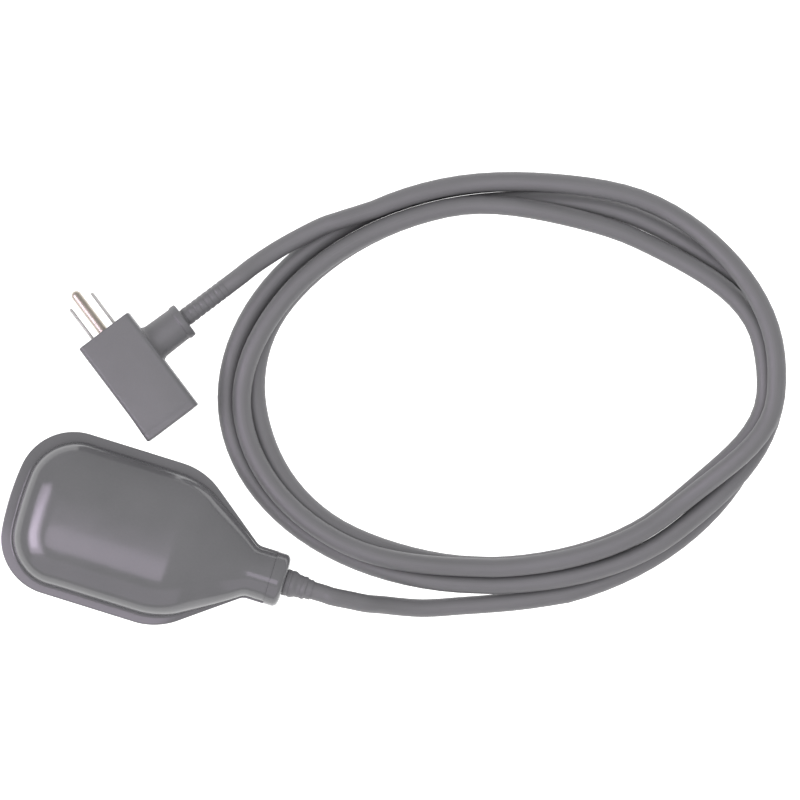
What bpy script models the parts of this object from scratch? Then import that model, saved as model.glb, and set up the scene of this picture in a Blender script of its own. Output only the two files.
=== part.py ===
"""A tethered float switch: a sealed float with a rolling-ball switch inside, a coiled cord and a
piggyback plug.

The origin is the middle of the float's foot. +X runs from the float's closed end to its cord and
+Z is up. Everything is in metres; angles are in degrees where a name says so.
"""
from math import atan2, ceil, cos, degrees, hypot, pi, radians, sin, tan

import bmesh
import bpy
import numpy as np
from mathutils import Matrix, Vector

# ---------------------------------------------------------------------------------------------
# Driving dimensions
# ---------------------------------------------------------------------------------------------
GAP = 0.0003                      # clear air between two pieces that meet
OVERRUN = 0.001                   # how far a cutter runs past the face it opens
MERGE_DISTANCE = 0.00001

# The float, seen from above
FLOAT_LENGTH = 0.136              # closed end to the face of the gland ring
FLOAT_WIDTH = 0.0782
FLOAT_DEPTH = 0.042
END_CROWN_RADIUS = 0.130          # slight bulge of the closed end
CORNER_RADIUS = 0.027             # corners of the closed end
SHOULDER_RADIUS = 0.033           # where the sides turn in towards the neck
TAPER_ANGLE = 37.2                # degrees between the tapering sides and the axis
NECK_BLEND_RADIUS = 0.006
NECK_LENGTH = 0.0098              # from where the taper's line would meet the neck's side
NECK_RADIUS = 0.0129

# The float, in section
WALL = 0.0024
FLANGE_WIDTH = 0.0048             # weld flange round the body
SEAM_WIDTH = 0.0008               # what is left of the flange along the neck
SEAM_HEIGHT = 0.0012
FOOT_FILLET = 0.0012              # hollow corner between flange and dome
BODY_SQUARENESS = 3.0             # exponent of the dome's section: 2 is an ellipse
NECK_SQUARENESS = 2.0
DEPTH_FADE_SHARE = 0.303          # share of the float's length in which the dome sinks to the neck
BELLY_FLAT_DEPTH = 0.0006         # crown that the resting face cuts off
DOME_ANGLES = (10, 20, 32, 45, 58, 70, 80, 90)

# The gland, on the neck's axis
GLAND_RING_LENGTH = 0.007
GLAND_SPIGOT_LENGTH = 0.0038
GLAND_EDGE_RADIUS = 0.0022
SEAL_LENGTH = 0.0038
WASHER_THICKNESS = 0.0018
LEDGE_THICKNESS = 0.002
CORD_FIT = 0.0003                 # clearance between the cord and what it passes through
ENTRY_STUB = 0.0027               # cord that stands out of the ledge inside the float

# The boot
BOOT_ROOT_RADIUS = 0.00645
BOOT_STEP_RADIUS = 0.0055
BOOT_TIP_RADIUS = 0.0048
BOOT_LENGTH = 0.0134
BOOT_ROOT_LENGTH = 0.0043
BOOT_STEP_START = 0.0063
BOOT_STEP_END = 0.0101
BOOT_GROOVE = 0.0003

# The switch case
CASE_LENGTH_SHARE = 0.417         # of the float's length
CASE_SETBACK_SHARE = 0.0533       # case's middle from the float's, in float lengths
CASE_WIDTH = 0.033
CASE_WALL = 0.0016
CASE_DROP = 0.0125                # underside of the case below the float's axis
CASE_HEIGHT = 0.0245
LID_THICKNESS = 0.0014
EAR_REACH = 0.0072
EAR_WIDTH = 0.0085
SCREW_RADIUS = 0.0012
SCREW_HEAD_RADIUS = 0.0026
SCREW_HEAD_HEIGHT = 0.0016
SCREW_LENGTH = 0.0048
BOSS_RADIUS = 0.0032
RIB_THICKNESS = 0.0016
RIB_HALF_WIDTH = 0.0122
RIB_SPACING = 0.033

# The rocker and the ball
PIVOT_SETBACK = 0.00275           # pivot from the case's middle
PIVOT_LIFT = 0.0033               # pivot above the case's floor
PIN_RADIUS = 0.0015
PIN_FIT = 0.0003
REST_TILT = 3.5                   # degrees that the cord end of the rocker stands up at rest
ROCKER_CENTRE_Y = -0.0044
BALL_RADIUS = 0.007
TROUGH_END_ROOM = 0.0018          # between the trough's low end and the case's end wall
BALL_SIDE_FIT = 0.0004
TROUGH_WALL = 0.0014
TROUGH_FLOOR_Z = 0.0020           # underside of the trough above the pivot
TROUGH_WALL_TOP = 0.0096
STOP_LENGTH = 0.002
STOP_WIDTH = 0.008
PIN_POST_LENGTH = 0.006
LUG_LENGTH = 0.007                # along X
LUG_WIDTH = 0.007                 # along the pin
LUG_DROP = 0.0026
PRESS_ARM = 0.011                 # pivot to the middle of the finger that presses the plunger
PRESS_FINGER_WIDTH = 0.003
PRESS_FINGER_Z = 0.0077           # underside of the finger above the pivot
PRESS_FINGER_REACH = 0.0006       # past the plunger

# The snap switch
SWITCH_LENGTH = 0.021
SWITCH_SETBACK = 0.005            # its near end from the pivot
SWITCH_Y = 0.0074                 # its inner face
SWITCH_THICKNESS = 0.0064
SWITCH_COVER = 0.0008
SWITCH_HEIGHT = 0.0095
SWITCH_WALL = 0.001
PLUNGER_RADIUS = 0.0013
PLUNGER_FIT = 0.0003
PLUNGER_FOOT_GAP = 0.0004         # between the plunger and the leaf at rest
LEAF_THICKNESS = 0.0004
LEAF_ROOT = 0.014                 # from the switch's near end
LEAF_LENGTH = 0.0115
LEAF_WIDTH = 0.0026
LEAF_LEVEL = 0.0056               # leaf above the switch's foot
CONTACT_RADIUS = 0.0008
CONTACT_HEIGHT = 0.0006
ROOT_ROOM = 0.0012                # room in the switch past the root of the leaf
STRIP_THICKNESS = 0.0005
STRIP_WIDTH = 0.0028
STRIP_TAIL = 0.0022               # terminal that stands out of the switch
WIRE_DIAMETER = 0.0016

# The cord
CORD_DIAMETER = 0.0086
STRAND_PITCH = CORD_DIAMETER + 0.00058        # strands that lie side by side

# The coil: an oval of loops that lie on one another
COIL_CENTRE = Vector((0.1363, 0.1167, 0.0))
COIL_LONG_RADIUS = 0.1348
COIL_SHORT_RADIUS = 0.1007
COIL_TILT = radians(21.2)
COIL_START = radians(-97.0)       # where the float's tail joins, from the oval's long axis
LOOP_STEPS = 24
COIL_STEPS = 86                   # a little over three and a half loops

# The first loop's sideways offset from the oval, in strand pitches: (step, outward)
FIRST_LOOP = ((0, 0.15), (6, -0.6), (10, -0.1), (18, -0.75), (24, -0.907))
FIRST_LOOP_LIFT_STEP = 19         # from here the first loop climbs onto the strand that joins

# How each loop lies on the one before it: (step along the coil, direction in degrees, strand
# pitches). Direction 0 is outward, 90 straight on top and 180 inward.
LOOP_LINKS = (
    (0, 158, 1.14), (3, 113, 1.0), (6, 62, 1.02), (7, 62, 1.02), (10, 130, 1.05), (13, 180, 1.06),
    (16, 180, 1.05), (19, 180, 1.55), (22, 180, 1.10),
    (24, 204, 1.03), (27, 196, 1.30), (30, 122, 1.03), (31, 122, 1.03), (34, 160, 1.10),
    (37, 90, 1.02), (40, 85, 1.0), (43, 42, 1.05), (46, 57, 1.02),
    (48, 85, 1.03), (51, 85, 1.10), (54, 60, 1.02), (55, 60, 1.04), (58, 16, 2.05),
    (61, 2, 1.15), (62, 0, 1.12),
)

# The free stretches' own points. The cord flexes from the boot to FLEX_END as the float swings,
# then runs to the coil, and from the coil to the plug.
FLEX_MIDDLE = (0.0876, 0.0001, 0.0207)
FLEX_END = (0.1000, 0.0008, 0.0179)
FLEX_WAY = (0.942, 0.09, -0.324)
FLOAT_TAIL = (
    (0.1160, 0.0032, 0.0102), (0.1245, 0.0048, 0.0069), (0.1330, 0.0068, 0.0050),
)
PLUG_TAIL = (
    (0.0335, 0.1655, 0.0122), (0.0200, 0.1520, 0.0118), (0.0098, 0.1398, 0.0136),
)
TAIL_POINT_SPACING = 2.3 * CORD_DIAMETER

# The plug. Its own axes: +X from the blades to the sockets, +Y along the stub, +Z up; its
# origin is the middle of the jacket.
PLUG_CENTRE = (-0.02715, 0.07225)
PLUG_TURN = -35.65                # degrees about Z
JACKET_LENGTH = 0.0548
JACKET_WIDTH = 0.029
JACKET_HEIGHT = 0.032
JACKET_WALL = 0.0032
JACKET_EDGE = 0.0022
INSERT_RECESS = 0.0004
STUB_X = -0.0086
STUB_LENGTH = 0.0195
STUB_ROOT_RADIUS = 0.0083
STUB_TIP_RADIUS = 0.0078
STUB_EDGE = 0.0008
STUB_BORE_RADIUS = 0.0049
SLEEVE_SEAT = 0.009               # how far the ribbed sleeve reaches into the stub
SLEEVE_LENGTH = 0.0245
SLEEVE_RADIUS = 0.0044
SLEEVE_GROOVE = 0.0003
SLEEVE_RIBS = 8
CARRIER_DEPTH = 0.012
PRONG_CENTRE_Y = -0.0004          # the prongs stand a little away from the stub
BLADE_SPACING = 0.0127
BLADE_THICKNESS = 0.0015
BLADE_WIDTH = 0.00635
BLADE_LENGTH = 0.0183
BLADE_HOLE_RADIUS = 0.0016
BLADE_HOLE_SETBACK = 0.0035       # from the tip
GROUND_OFFSET = 0.0119            # ground pin above the blades
BLADES_Z = -0.0055
GROUND_RADIUS = 0.0024
GROUND_LENGTH = 0.0224
PRONG_INSIDE = 0.0035             # prong behind the carrier
RECEPTACLE_DEPTH = 0.020
RECEPTACLE_FACE = 0.002
SLOT_WIDTH = 0.0022
SLOT_HEIGHT = 0.0074
CLIP_METAL = 0.0008
CLIP_MOUTH = 0.0019
CLIP_LENGTH = 0.0125
STRAP_THICKNESS = 0.0008
STRAP_WIDTH = 0.0045
CORE_SPREAD = 0.0021              # each core from the middle of the stub

# ---------------------------------------------------------------------------------------------
# Sizes that follow from them
# ---------------------------------------------------------------------------------------------
FLOAT_END = -FLOAT_LENGTH / 2
HALF_WIDTH = FLOAT_WIDTH / 2
HALF_DEPTH = FLOAT_DEPTH / 2
AXIS_Z = HALF_DEPTH               # height of the joint plane and of the neck's axis
GLAND_FACE = FLOAT_LENGTH / 2
NECK_END = GLAND_FACE - GLAND_RING_LENGTH
TAPER_END = NECK_END - NECK_LENGTH
DEPTH_FADE_START = TAPER_END - DEPTH_FADE_SHARE * FLOAT_LENGTH
DOME_NECK_RADIUS = NECK_RADIUS - SEAM_WIDTH
NECK_BORE = DOME_NECK_RADIUS - WALL
CORD_RADIUS = CORD_DIAMETER / 2
CORD_BORE = CORD_RADIUS + CORD_FIT

BOOT_START = GLAND_FACE + GAP
BOOT_END = BOOT_START + BOOT_LENGTH
SPIGOT_START = NECK_END - GLAND_SPIGOT_LENGTH
SEAL_START = SPIGOT_START - GAP - SEAL_LENGTH
WASHER_START = SEAL_START - GAP - WASHER_THICKNESS
LEDGE_START = WASHER_START - GAP - LEDGE_THICKNESS
ENTRY_INSIDE = LEDGE_START - ENTRY_STUB

CASE_LENGTH = CASE_LENGTH_SHARE * FLOAT_LENGTH
CASE_CENTRE_X = -CASE_SETBACK_SHARE * FLOAT_LENGTH
CASE_FLOOR_Z = AXIS_Z - CASE_DROP
CASE_X0 = CASE_CENTRE_X - CASE_LENGTH / 2
CASE_X1 = CASE_CENTRE_X + CASE_LENGTH / 2
CASE_TOP = CASE_FLOOR_Z + CASE_HEIGHT
CASE_FLOOR_TOP = CASE_FLOOR_Z + CASE_WALL
LID_Z = CASE_TOP + GAP

PIVOT_X = CASE_CENTRE_X - PIVOT_SETBACK
PIVOT_Z = CASE_FLOOR_TOP + PIVOT_LIFT
TROUGH_FLOOR_TOP = TROUGH_FLOOR_Z + TROUGH_WALL
TROUGH_HALF_LENGTH = PIVOT_X - CASE_X0 - CASE_WALL - TROUGH_END_ROOM
BALL_TRAVEL = 2 * (TROUGH_HALF_LENGTH - TROUGH_WALL - BALL_RADIUS - GAP)
TROUGH_HALF_WIDTH = BALL_RADIUS + BALL_SIDE_FIT + TROUGH_WALL
BALL_Z = TROUGH_FLOOR_TOP + GAP + BALL_RADIUS
BALL_REST_X = -BALL_TRAVEL / 2

SWITCH_START_X = PIVOT_X + SWITCH_SETBACK
LEAF_ROOT_X = SWITCH_START_X + LEAF_ROOT
SWITCH_X1 = SWITCH_START_X + SWITCH_LENGTH
SWITCH_Y1 = SWITCH_Y + SWITCH_THICKNESS
SWITCH_MID_Y = SWITCH_Y + SWITCH_THICKNESS / 2
SWITCH_FOOT = CASE_FLOOR_TOP + GAP
SWITCH_TOP = SWITCH_FOOT + SWITCH_HEIGHT
PLUNGER_X = PIVOT_X + PRESS_ARM
LEAF_Z = SWITCH_FOOT + LEAF_LEVEL
LEAF_RATIO = PRESS_ARM / (LEAF_ROOT_X - PLUNGER_X)
PRESS_SWEEP = radians(2 * REST_TILT)

PLUG_FRONT = -JACKET_LENGTH / 2
PLUG_REAR = JACKET_LENGTH / 2
STUB_END = JACKET_WIDTH / 2 + STUB_LENGTH
SLEEVE_ROOT = STUB_END - SLEEVE_SEAT
SLEEVE_TIP = STUB_END + SLEEVE_LENGTH
INSERT_HALF_Y = JACKET_WIDTH / 2 - JACKET_WALL - GAP
INSERT_HALF_Z = JACKET_HEIGHT / 2 - JACKET_WALL - GAP
CARRIER_X0 = PLUG_FRONT + INSERT_RECESS
CARRIER_X1 = CARRIER_X0 + CARRIER_DEPTH
RECEPTACLE_X1 = PLUG_REAR - INSERT_RECESS
RECEPTACLE_X0 = RECEPTACLE_X1 - RECEPTACLE_DEPTH
LINE_Y = PRONG_CENTRE_Y + BLADE_SPACING / 2
NEUTRAL_Y = PRONG_CENTRE_Y - BLADE_SPACING / 2
GROUND_Z = BLADES_Z + GROUND_OFFSET
CLIP_X1 = RECEPTACLE_X1 - RECEPTACLE_FACE - GAP
CLIP_X0 = CLIP_X1 - CLIP_LENGTH
CLIP_HALF = CLIP_MOUTH / 2 + CLIP_METAL

# ---------------------------------------------------------------------------------------------
# Scene, finishes and small helpers
# ---------------------------------------------------------------------------------------------
for old in list(bpy.data.objects):
    bpy.data.objects.remove(old)

parts = bpy.data.collections.new("tethered_float_switch")
cutters = bpy.data.collections.new("cutters")
for collection in (parts, cutters):
    bpy.context.scene.collection.children.link(collection)


def finish(name, color, roughness, metallic=0.0):
    """A plain Principled finish."""
    made = bpy.data.materials.new(name)
    made.use_nodes = True
    shader = made.node_tree.nodes["Principled BSDF"]
    shader.inputs["Base Color"].default_value = (*color, 1.0)
    shader.inputs["Roughness"].default_value = roughness
    shader.inputs["Metallic"].default_value = metallic
    return made


GREY_SHELL = finish("grey_shell", (0.17, 0.17, 0.18), 0.35)
GREY_RUBBER = finish("grey_rubber", (0.17, 0.17, 0.175), 0.6)
GREY_PLUG = finish("grey_plug", (0.18, 0.18, 0.19), 0.5)
CASE_PLASTIC = finish("case_plastic", (0.62, 0.61, 0.57), 0.5)
SWITCH_PLASTIC = finish("switch_plastic", (0.05, 0.05, 0.055), 0.45)
PLUNGER_PLASTIC = finish("plunger_plastic", (0.45, 0.08, 0.06), 0.4)
STEEL = finish("steel", (0.55, 0.55, 0.56), 0.2, 1.0)
BRASS = finish("brass", (0.72, 0.53, 0.28), 0.3, 1.0)
NICKEL = finish("nickel", (0.66, 0.65, 0.62), 0.25, 1.0)
WIRE_DARK = finish("wire_dark", (0.03, 0.03, 0.03), 0.5)
WIRE_WHITE = finish("wire_white", (0.75, 0.75, 0.72), 0.5)


def frame(name, location, rotation=(0.0, 0.0, 0.0), parent=None):
    """An empty that carries the pieces of one axis system."""
    empty = bpy.data.objects.new(name, None)
    empty.location = location
    empty.rotation_euler = rotation
    empty.parent = parent
    parts.objects.link(empty)
    return empty


def place(name, bm, look=None, parent=None):
    """Turn a bmesh into an object: a part if it has a finish, else a cutter."""
    mesh = bpy.data.meshes.new(name)
    bm.to_mesh(mesh)
    bm.free()
    made = bpy.data.objects.new(name, mesh)
    made.parent = parent
    settle(made, look)
    return made


def settle(made, look):
    """Link a part with its finish, or a cutter hidden from the model."""
    if look is None:
        cutters.objects.link(made)
        made.hide_render = True
        made.display_type = 'WIRE'
        return
    parts.objects.link(made)
    made.data.materials.append(look)


def box(name, low, high, look=None, parent=None, edge=0.0):
    """A box between two corners, with its edges along X rounded if edge is set."""
    bm = bmesh.new()
    bmesh.ops.create_cube(bm, size=1.0)
    low, high = Vector(low), Vector(high)
    size = high - low
    for vert in bm.verts:
        vert.co = low + Vector((c + 0.5) * s for c, s in zip(vert.co, size))
    if edge:
        along = [e for e in bm.edges if abs(e.verts[0].co.x - e.verts[1].co.x) > size.x / 2]
        bmesh.ops.bevel(bm, geom=along, offset=edge, segments=3, profile=0.5, affect='EDGES')
    return place(name, bm, look, parent)


def bar(name, start, end, radius, look=None, parent=None, sides=24, end_radius=None):
    """A cylinder or cone between two points."""
    start, end = Vector(start), Vector(end)
    bm = bmesh.new()
    bmesh.ops.create_cone(bm, cap_ends=True, segments=sides, radius1=radius,
                          radius2=radius if end_radius is None else end_radius,
                          depth=(end - start).length)
    turn = (end - start).to_track_quat('Z', 'Y').to_matrix().to_4x4()
    bm.transform(Matrix.Translation((start + end) / 2) @ turn)
    made = place(name, bm, look, parent)
    made.data.shade_smooth()
    made.data.set_sharp_from_angle(angle=radians(40))
    return made


def turned(name, profile, axis_point, axis, look=None, parent=None, sides=24):
    """A solid turned about an axis from (distance along it, radius) pairs, far end first."""
    mesh = bpy.data.meshes.new(name)
    verts = [(radius, 0.0, along) for along, radius in profile]
    edges = [(i, (i + 1) % len(profile)) for i in range(len(profile))]
    if profile[0][1] == 0.0 and profile[-1][1] == 0.0:
        edges.pop()
    mesh.from_pydata(verts, edges, [])
    made = bpy.data.objects.new(name, mesh)
    made.parent = parent
    made.location = axis_point
    made.rotation_euler = Vector(axis).to_track_quat('Z', 'Y').to_euler()
    settle(made, look)
    screw = made.modifiers.new("turn", 'SCREW')
    screw.steps = sides
    screw.render_steps = sides
    screw.use_merge_vertices = True
    screw.merge_threshold = MERGE_DISTANCE
    screw.use_smooth_shade = True
    return made


def tube(name, points, diameter, look, parent=None, resolution=2):
    """A round wire or cord along its points."""
    curve = bpy.data.curves.new(name, 'CURVE')
    curve.dimensions = '3D'
    curve.bevel_depth = diameter / 2
    curve.bevel_resolution = resolution
    curve.use_fill_caps = True
    spline = curve.splines.new('POLY')
    spline.points.add(len(points) - 1)
    for target, point in zip(spline.points, points):
        target.co = (*point, 1.0)
        target.radius = 1.0
    made = bpy.data.objects.new(name, curve)
    made.parent = parent
    settle(made, look)
    return made


def combine(target, tool, operation):
    """Cut a tool out of a part, or join it on."""
    boolean = target.modifiers.new(tool.name, 'BOOLEAN')
    boolean.operation = operation
    boolean.solver = 'EXACT'
    boolean.object = tool


def cut(target, *tools):
    for tool in tools:
        combine(target, tool, 'DIFFERENCE')


def join(target, *tools):
    for tool in tools:
        combine(target, tool, 'UNION')


def arc(centre, radius, start, end, count):
    """Points of an arc, angles in degrees, without its first point."""
    sweep = [radians(start + (end - start) * i / count) for i in range(1, count + 1)]
    return [(centre[0] + radius * cos(a), centre[1] + radius * sin(a)) for a in sweep]


def stretch(start, end, count):
    """Points of a straight line, without its first point."""
    return [tuple(a + (b - a) * i / count for a, b in zip(start, end)) for i in range(1, count + 1)]


def eased(value):
    """0 to 1 with level ends."""
    value = min(max(value, 0.0), 1.0)
    return value * value * (3 - 2 * value)


# ---------------------------------------------------------------------------------------------
# The float's two shells
# ---------------------------------------------------------------------------------------------
def float_outline():
    """Half of the outline, from the middle of the closed end round to the neck's end."""
    crown_centre = (FLOAT_END + END_CROWN_RADIUS, 0.0)
    corner_y = HALF_WIDTH - CORNER_RADIUS
    reach = END_CROWN_RADIUS - CORNER_RADIUS
    corner_centre = (crown_centre[0] - (reach ** 2 - corner_y ** 2) ** 0.5, corner_y)
    meet = degrees(atan2(corner_y, corner_centre[0] - crown_centre[0]))

    lean = radians(TAPER_ANGLE)
    full_width_x = TAPER_END - (HALF_WIDTH - NECK_RADIUS) / tan(lean)
    shoulder_x = full_width_x - SHOULDER_RADIUS * tan(lean / 2)
    shoulder_centre = (shoulder_x, HALF_WIDTH - SHOULDER_RADIUS)
    blend_x = TAPER_END + NECK_BLEND_RADIUS * tan(lean / 2)
    blend_centre = (blend_x, NECK_RADIUS + NECK_BLEND_RADIUS)
    blend_start = (blend_x - NECK_BLEND_RADIUS * sin(lean),
                   blend_centre[1] - NECK_BLEND_RADIUS * cos(lean))

    points = [(FLOAT_END, 0.0)]
    points += arc(crown_centre, END_CROWN_RADIUS, 180, meet, 3)
    points += arc(corner_centre, CORNER_RADIUS, meet, 90, 8)
    points += stretch(points[-1], (shoulder_x, HALF_WIDTH), 4)
    points += arc(shoulder_centre, SHOULDER_RADIUS, 90, 90 - TAPER_ANGLE, 5)
    points += stretch(points[-1], blend_start, 4)
    points += arc(blend_centre, NECK_BLEND_RADIUS, 270 - TAPER_ANGLE, 270, 3)
    points += stretch(points[-1], (NECK_END, NECK_RADIUS), 2)
    return points


def dome_section(x, belly):
    """Section of the dome at x: depth, squareness, flange width and flange height."""
    fade = eased((x - DEPTH_FADE_START) / (TAPER_END - DEPTH_FADE_START))

    def between(body, neck):
        return body + (neck - body) * fade

    depth = HALF_DEPTH - GAP / 2
    return (between(depth + (BELLY_FLAT_DEPTH if belly else 0.0), DOME_NECK_RADIUS),
            between(BODY_SQUARENESS, NECK_SQUARENESS),
            between(FLANGE_WIDTH, SEAM_WIDTH),
            between(WALL, SEAM_HEIGHT))


def half_dome(name, belly, inset, base, look=None):
    """One half of the float as a closed solid, its joint face at z = base of its own axes.

    inset is 0 for the outside and the wall's thickness for the room within.
    """
    outline = float_outline()
    if inset:
        outline[-1] = (NECK_END + GAP, NECK_RADIUS)
    pole_x = FLOAT_END + HALF_WIDTH                  # the closed end's sections fan out from here
    crown_height = HALF_DEPTH - GAP / 2 - inset
    bm = bmesh.new()
    rows = []
    for x, y in outline:
        spine_x = max(x, pole_x)
        depth, squareness, flange, height = dome_section(spine_x, belly)
        reach = hypot(x - spine_x, y)
        foot = reach - flange - inset
        if inset:
            profile = [(0.0, base), (foot, base)]
        else:
            fillet = FOOT_FILLET * flange / FLANGE_WIDTH
            profile = [(0.0, base), (reach, base), (reach, height), (foot + fillet, height)]
        for angle in DOME_ANGLES:
            across = foot * max(cos(radians(angle)), 0.0) ** (2 / squareness)
            up = (depth - inset) * sin(radians(angle)) ** (2 / squareness)
            profile.append((0.0 if angle == 90 else across, min(up, crown_height)))
        rows.append([bm.verts.new((spine_x + (x - spine_x) * across / reach, y * across / reach, up))
                     for across, up in profile])
    for near, far in zip(rows, rows[1:]):
        for i in range(len(near) - 1):
            bm.faces.new((near[i], near[i + 1], far[i + 1], far[i]))
    bm.faces.new(rows[-1])
    bmesh.ops.remove_doubles(bm, verts=bm.verts, dist=MERGE_DISTANCE / 10)
    if belly:
        bmesh.ops.scale(bm, vec=(1.0, 1.0, -1.0), verts=bm.verts)
    bmesh.ops.recalc_face_normals(bm, faces=bm.faces)
    crown = max(bm.faces, key=lambda face: abs(face.calc_center_median().z))
    if (crown.normal.z > 0) == belly:
        bmesh.ops.reverse_faces(bm, faces=bm.faces)

    half = place(name, bm, look)
    half.location.z = AXIS_Z + (-GAP / 2 if belly else GAP / 2)
    half.data.shade_smooth()
    half.data.set_sharp_from_angle(angle=radians(50))
    mirror = half.modifiers.new("other_side", 'MIRROR')
    mirror.use_axis = (False, True, False)
    mirror.merge_threshold = MERGE_DISTANCE
    return half


def half_shell(name, belly):
    """One moulded half of the float: the outside less the room within."""
    shell = half_dome(name, belly, 0.0, 0.0, GREY_SHELL)
    cut(shell, half_dome(f"{name}_room", belly, WALL, -WALL))
    return shell


def shell_fittings(shell, side):
    """Ribs that hold the case and the ledge for the gland's washer.

    side is +1 for the upper half and -1 for the lower one.
    """
    name = shell.name
    wall_middle = AXIS_Z + side * (HALF_DEPTH - WALL / 2)
    case_side = (LID_Z + LID_THICKNESS + GAP) if side > 0 else CASE_FLOOR_Z - GAP
    ends = sorted((wall_middle, case_side))
    for i, x in enumerate((CASE_CENTRE_X - RIB_SPACING / 2, CASE_CENTRE_X + RIB_SPACING / 2)):
        join(shell, box(f"{name}_rib_{i}", (x - RIB_THICKNESS / 2, -RIB_HALF_WIDTH, ends[0]),
                        (x + RIB_THICKNESS / 2, RIB_HALF_WIDTH, ends[1])))

    radius = DOME_NECK_RADIUS - WALL / 2
    end = LEDGE_START + LEDGE_THICKNESS
    ledge = bar(f"{name}_ledge", (LEDGE_START, 0, AXIS_Z), (end, 0, AXIS_Z), radius)
    edge = shell.location.z + side * GAP
    low, high = sorted((edge, edge - side * 2 * radius))
    cut(ledge, box(f"{name}_ledge_edge", (LEDGE_START - GAP, -2 * radius, low),
                   (end + GAP, 2 * radius, high)),
        bar(f"{name}_ledge_bore", (LEDGE_START - GAP, 0, AXIS_Z), (end + GAP, 0, AXIS_Z),
            CORD_BORE))
    join(shell, ledge)


def screw_bosses(shell):
    """The two bosses under the case's ears, with their pilot holes."""
    for i, x in enumerate(screw_places()):
        depth = dome_section(x, True)[0]
        floor = AXIS_Z - min(depth, HALF_DEPTH) + WALL / 2
        top = CASE_FLOOR_Z - GAP
        join(shell, bar(f"boss_{i}", (x, 0, floor), (x, 0, top), BOSS_RADIUS))
        pilot_end = CASE_FLOOR_TOP - SCREW_LENGTH - GAP
        cut(shell, bar(f"pilot_{i}", (x, 0, pilot_end), (x, 0, top + OVERRUN),
                       SCREW_RADIUS + GAP, sides=16))


def screw_places():
    """Where the case's two ears are screwed down, along X."""
    middle = EAR_REACH - EAR_WIDTH / 2
    return CASE_X0 - middle, CASE_X1 + middle


def build_shells():
    upper = half_shell("float_upper_shell", belly=False)
    shell_fittings(upper, 1)
    lower = half_shell("float_lower_shell", belly=True)
    shell_fittings(lower, -1)
    screw_bosses(lower)


# ---------------------------------------------------------------------------------------------
# Gland, boot and the cord's entry
# ---------------------------------------------------------------------------------------------
def build_gland():
    axis = dict(axis_point=(0, 0, AXIS_Z), axis=(1, 0, 0))
    edge = GLAND_EDGE_RADIUS
    face = GLAND_FACE
    flange = NECK_END + GAP
    rounding = [(face - edge + edge * sin(radians(a)), NECK_RADIUS - edge + edge * cos(radians(a)))
                for a in (90, 60, 30, 0)]
    spigot = NECK_BORE - GAP
    turned("gland_ring", [(face, CORD_BORE), *rounding, (flange, NECK_RADIUS), (flange, spigot),
                          (SPIGOT_START, spigot), (SPIGOT_START, CORD_BORE)],
           look=GREY_SHELL, sides=32, **axis)
    seal_end = SEAL_START + SEAL_LENGTH
    turned("cable_seal", [(seal_end, CORD_BORE), (seal_end, spigot), (SEAL_START, spigot),
                          (SEAL_START, CORD_BORE)], look=GREY_RUBBER, **axis)
    washer_end = WASHER_START + WASHER_THICKNESS
    turned("clamp_washer", [(washer_end, CORD_BORE), (washer_end, spigot),
                            (WASHER_START, spigot), (WASHER_START, CORD_BORE)],
           look=STEEL, **axis)

    root, step, tip = BOOT_ROOT_RADIUS, BOOT_STEP_RADIUS, BOOT_TIP_RADIUS
    start = BOOT_START
    root_end = start + BOOT_ROOT_LENGTH
    root_groove = start + BOOT_ROOT_LENGTH / 2
    step_groove = start + (BOOT_STEP_START + BOOT_STEP_END) / 2
    turned("strain_relief_boot", [
        (BOOT_END, CORD_BORE), (BOOT_END, tip), (start + (BOOT_STEP_END + BOOT_LENGTH) / 2, tip),
        (start + BOOT_STEP_END, step), (step_groove + BOOT_GROOVE, step),
        (step_groove, step - BOOT_GROOVE), (step_groove - BOOT_GROOVE, step),
        (start + BOOT_STEP_START, step), (root_end, root), (root_groove + BOOT_GROOVE, root),
        (root_groove, root - BOOT_GROOVE), (root_groove - BOOT_GROOVE, root),
        (start, root), (start, CORD_BORE)], look=GREY_RUBBER, sides=24, **axis)
    way = Vector(FLEX_WAY).normalized()
    inside = Vector((ENTRY_INSIDE, 0, AXIS_Z))
    outside = Vector((BOOT_END, 0, AXIS_Z))
    tube("cord_flex", [inside, inside.lerp(outside, 0.5), *smooth_route(
        [outside, FLEX_MIDDLE, Vector(FLEX_END) - way * CORD_DIAMETER, FLEX_END],
        TAIL_POINT_SPACING)], CORD_DIAMETER, GREY_RUBBER)


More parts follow.
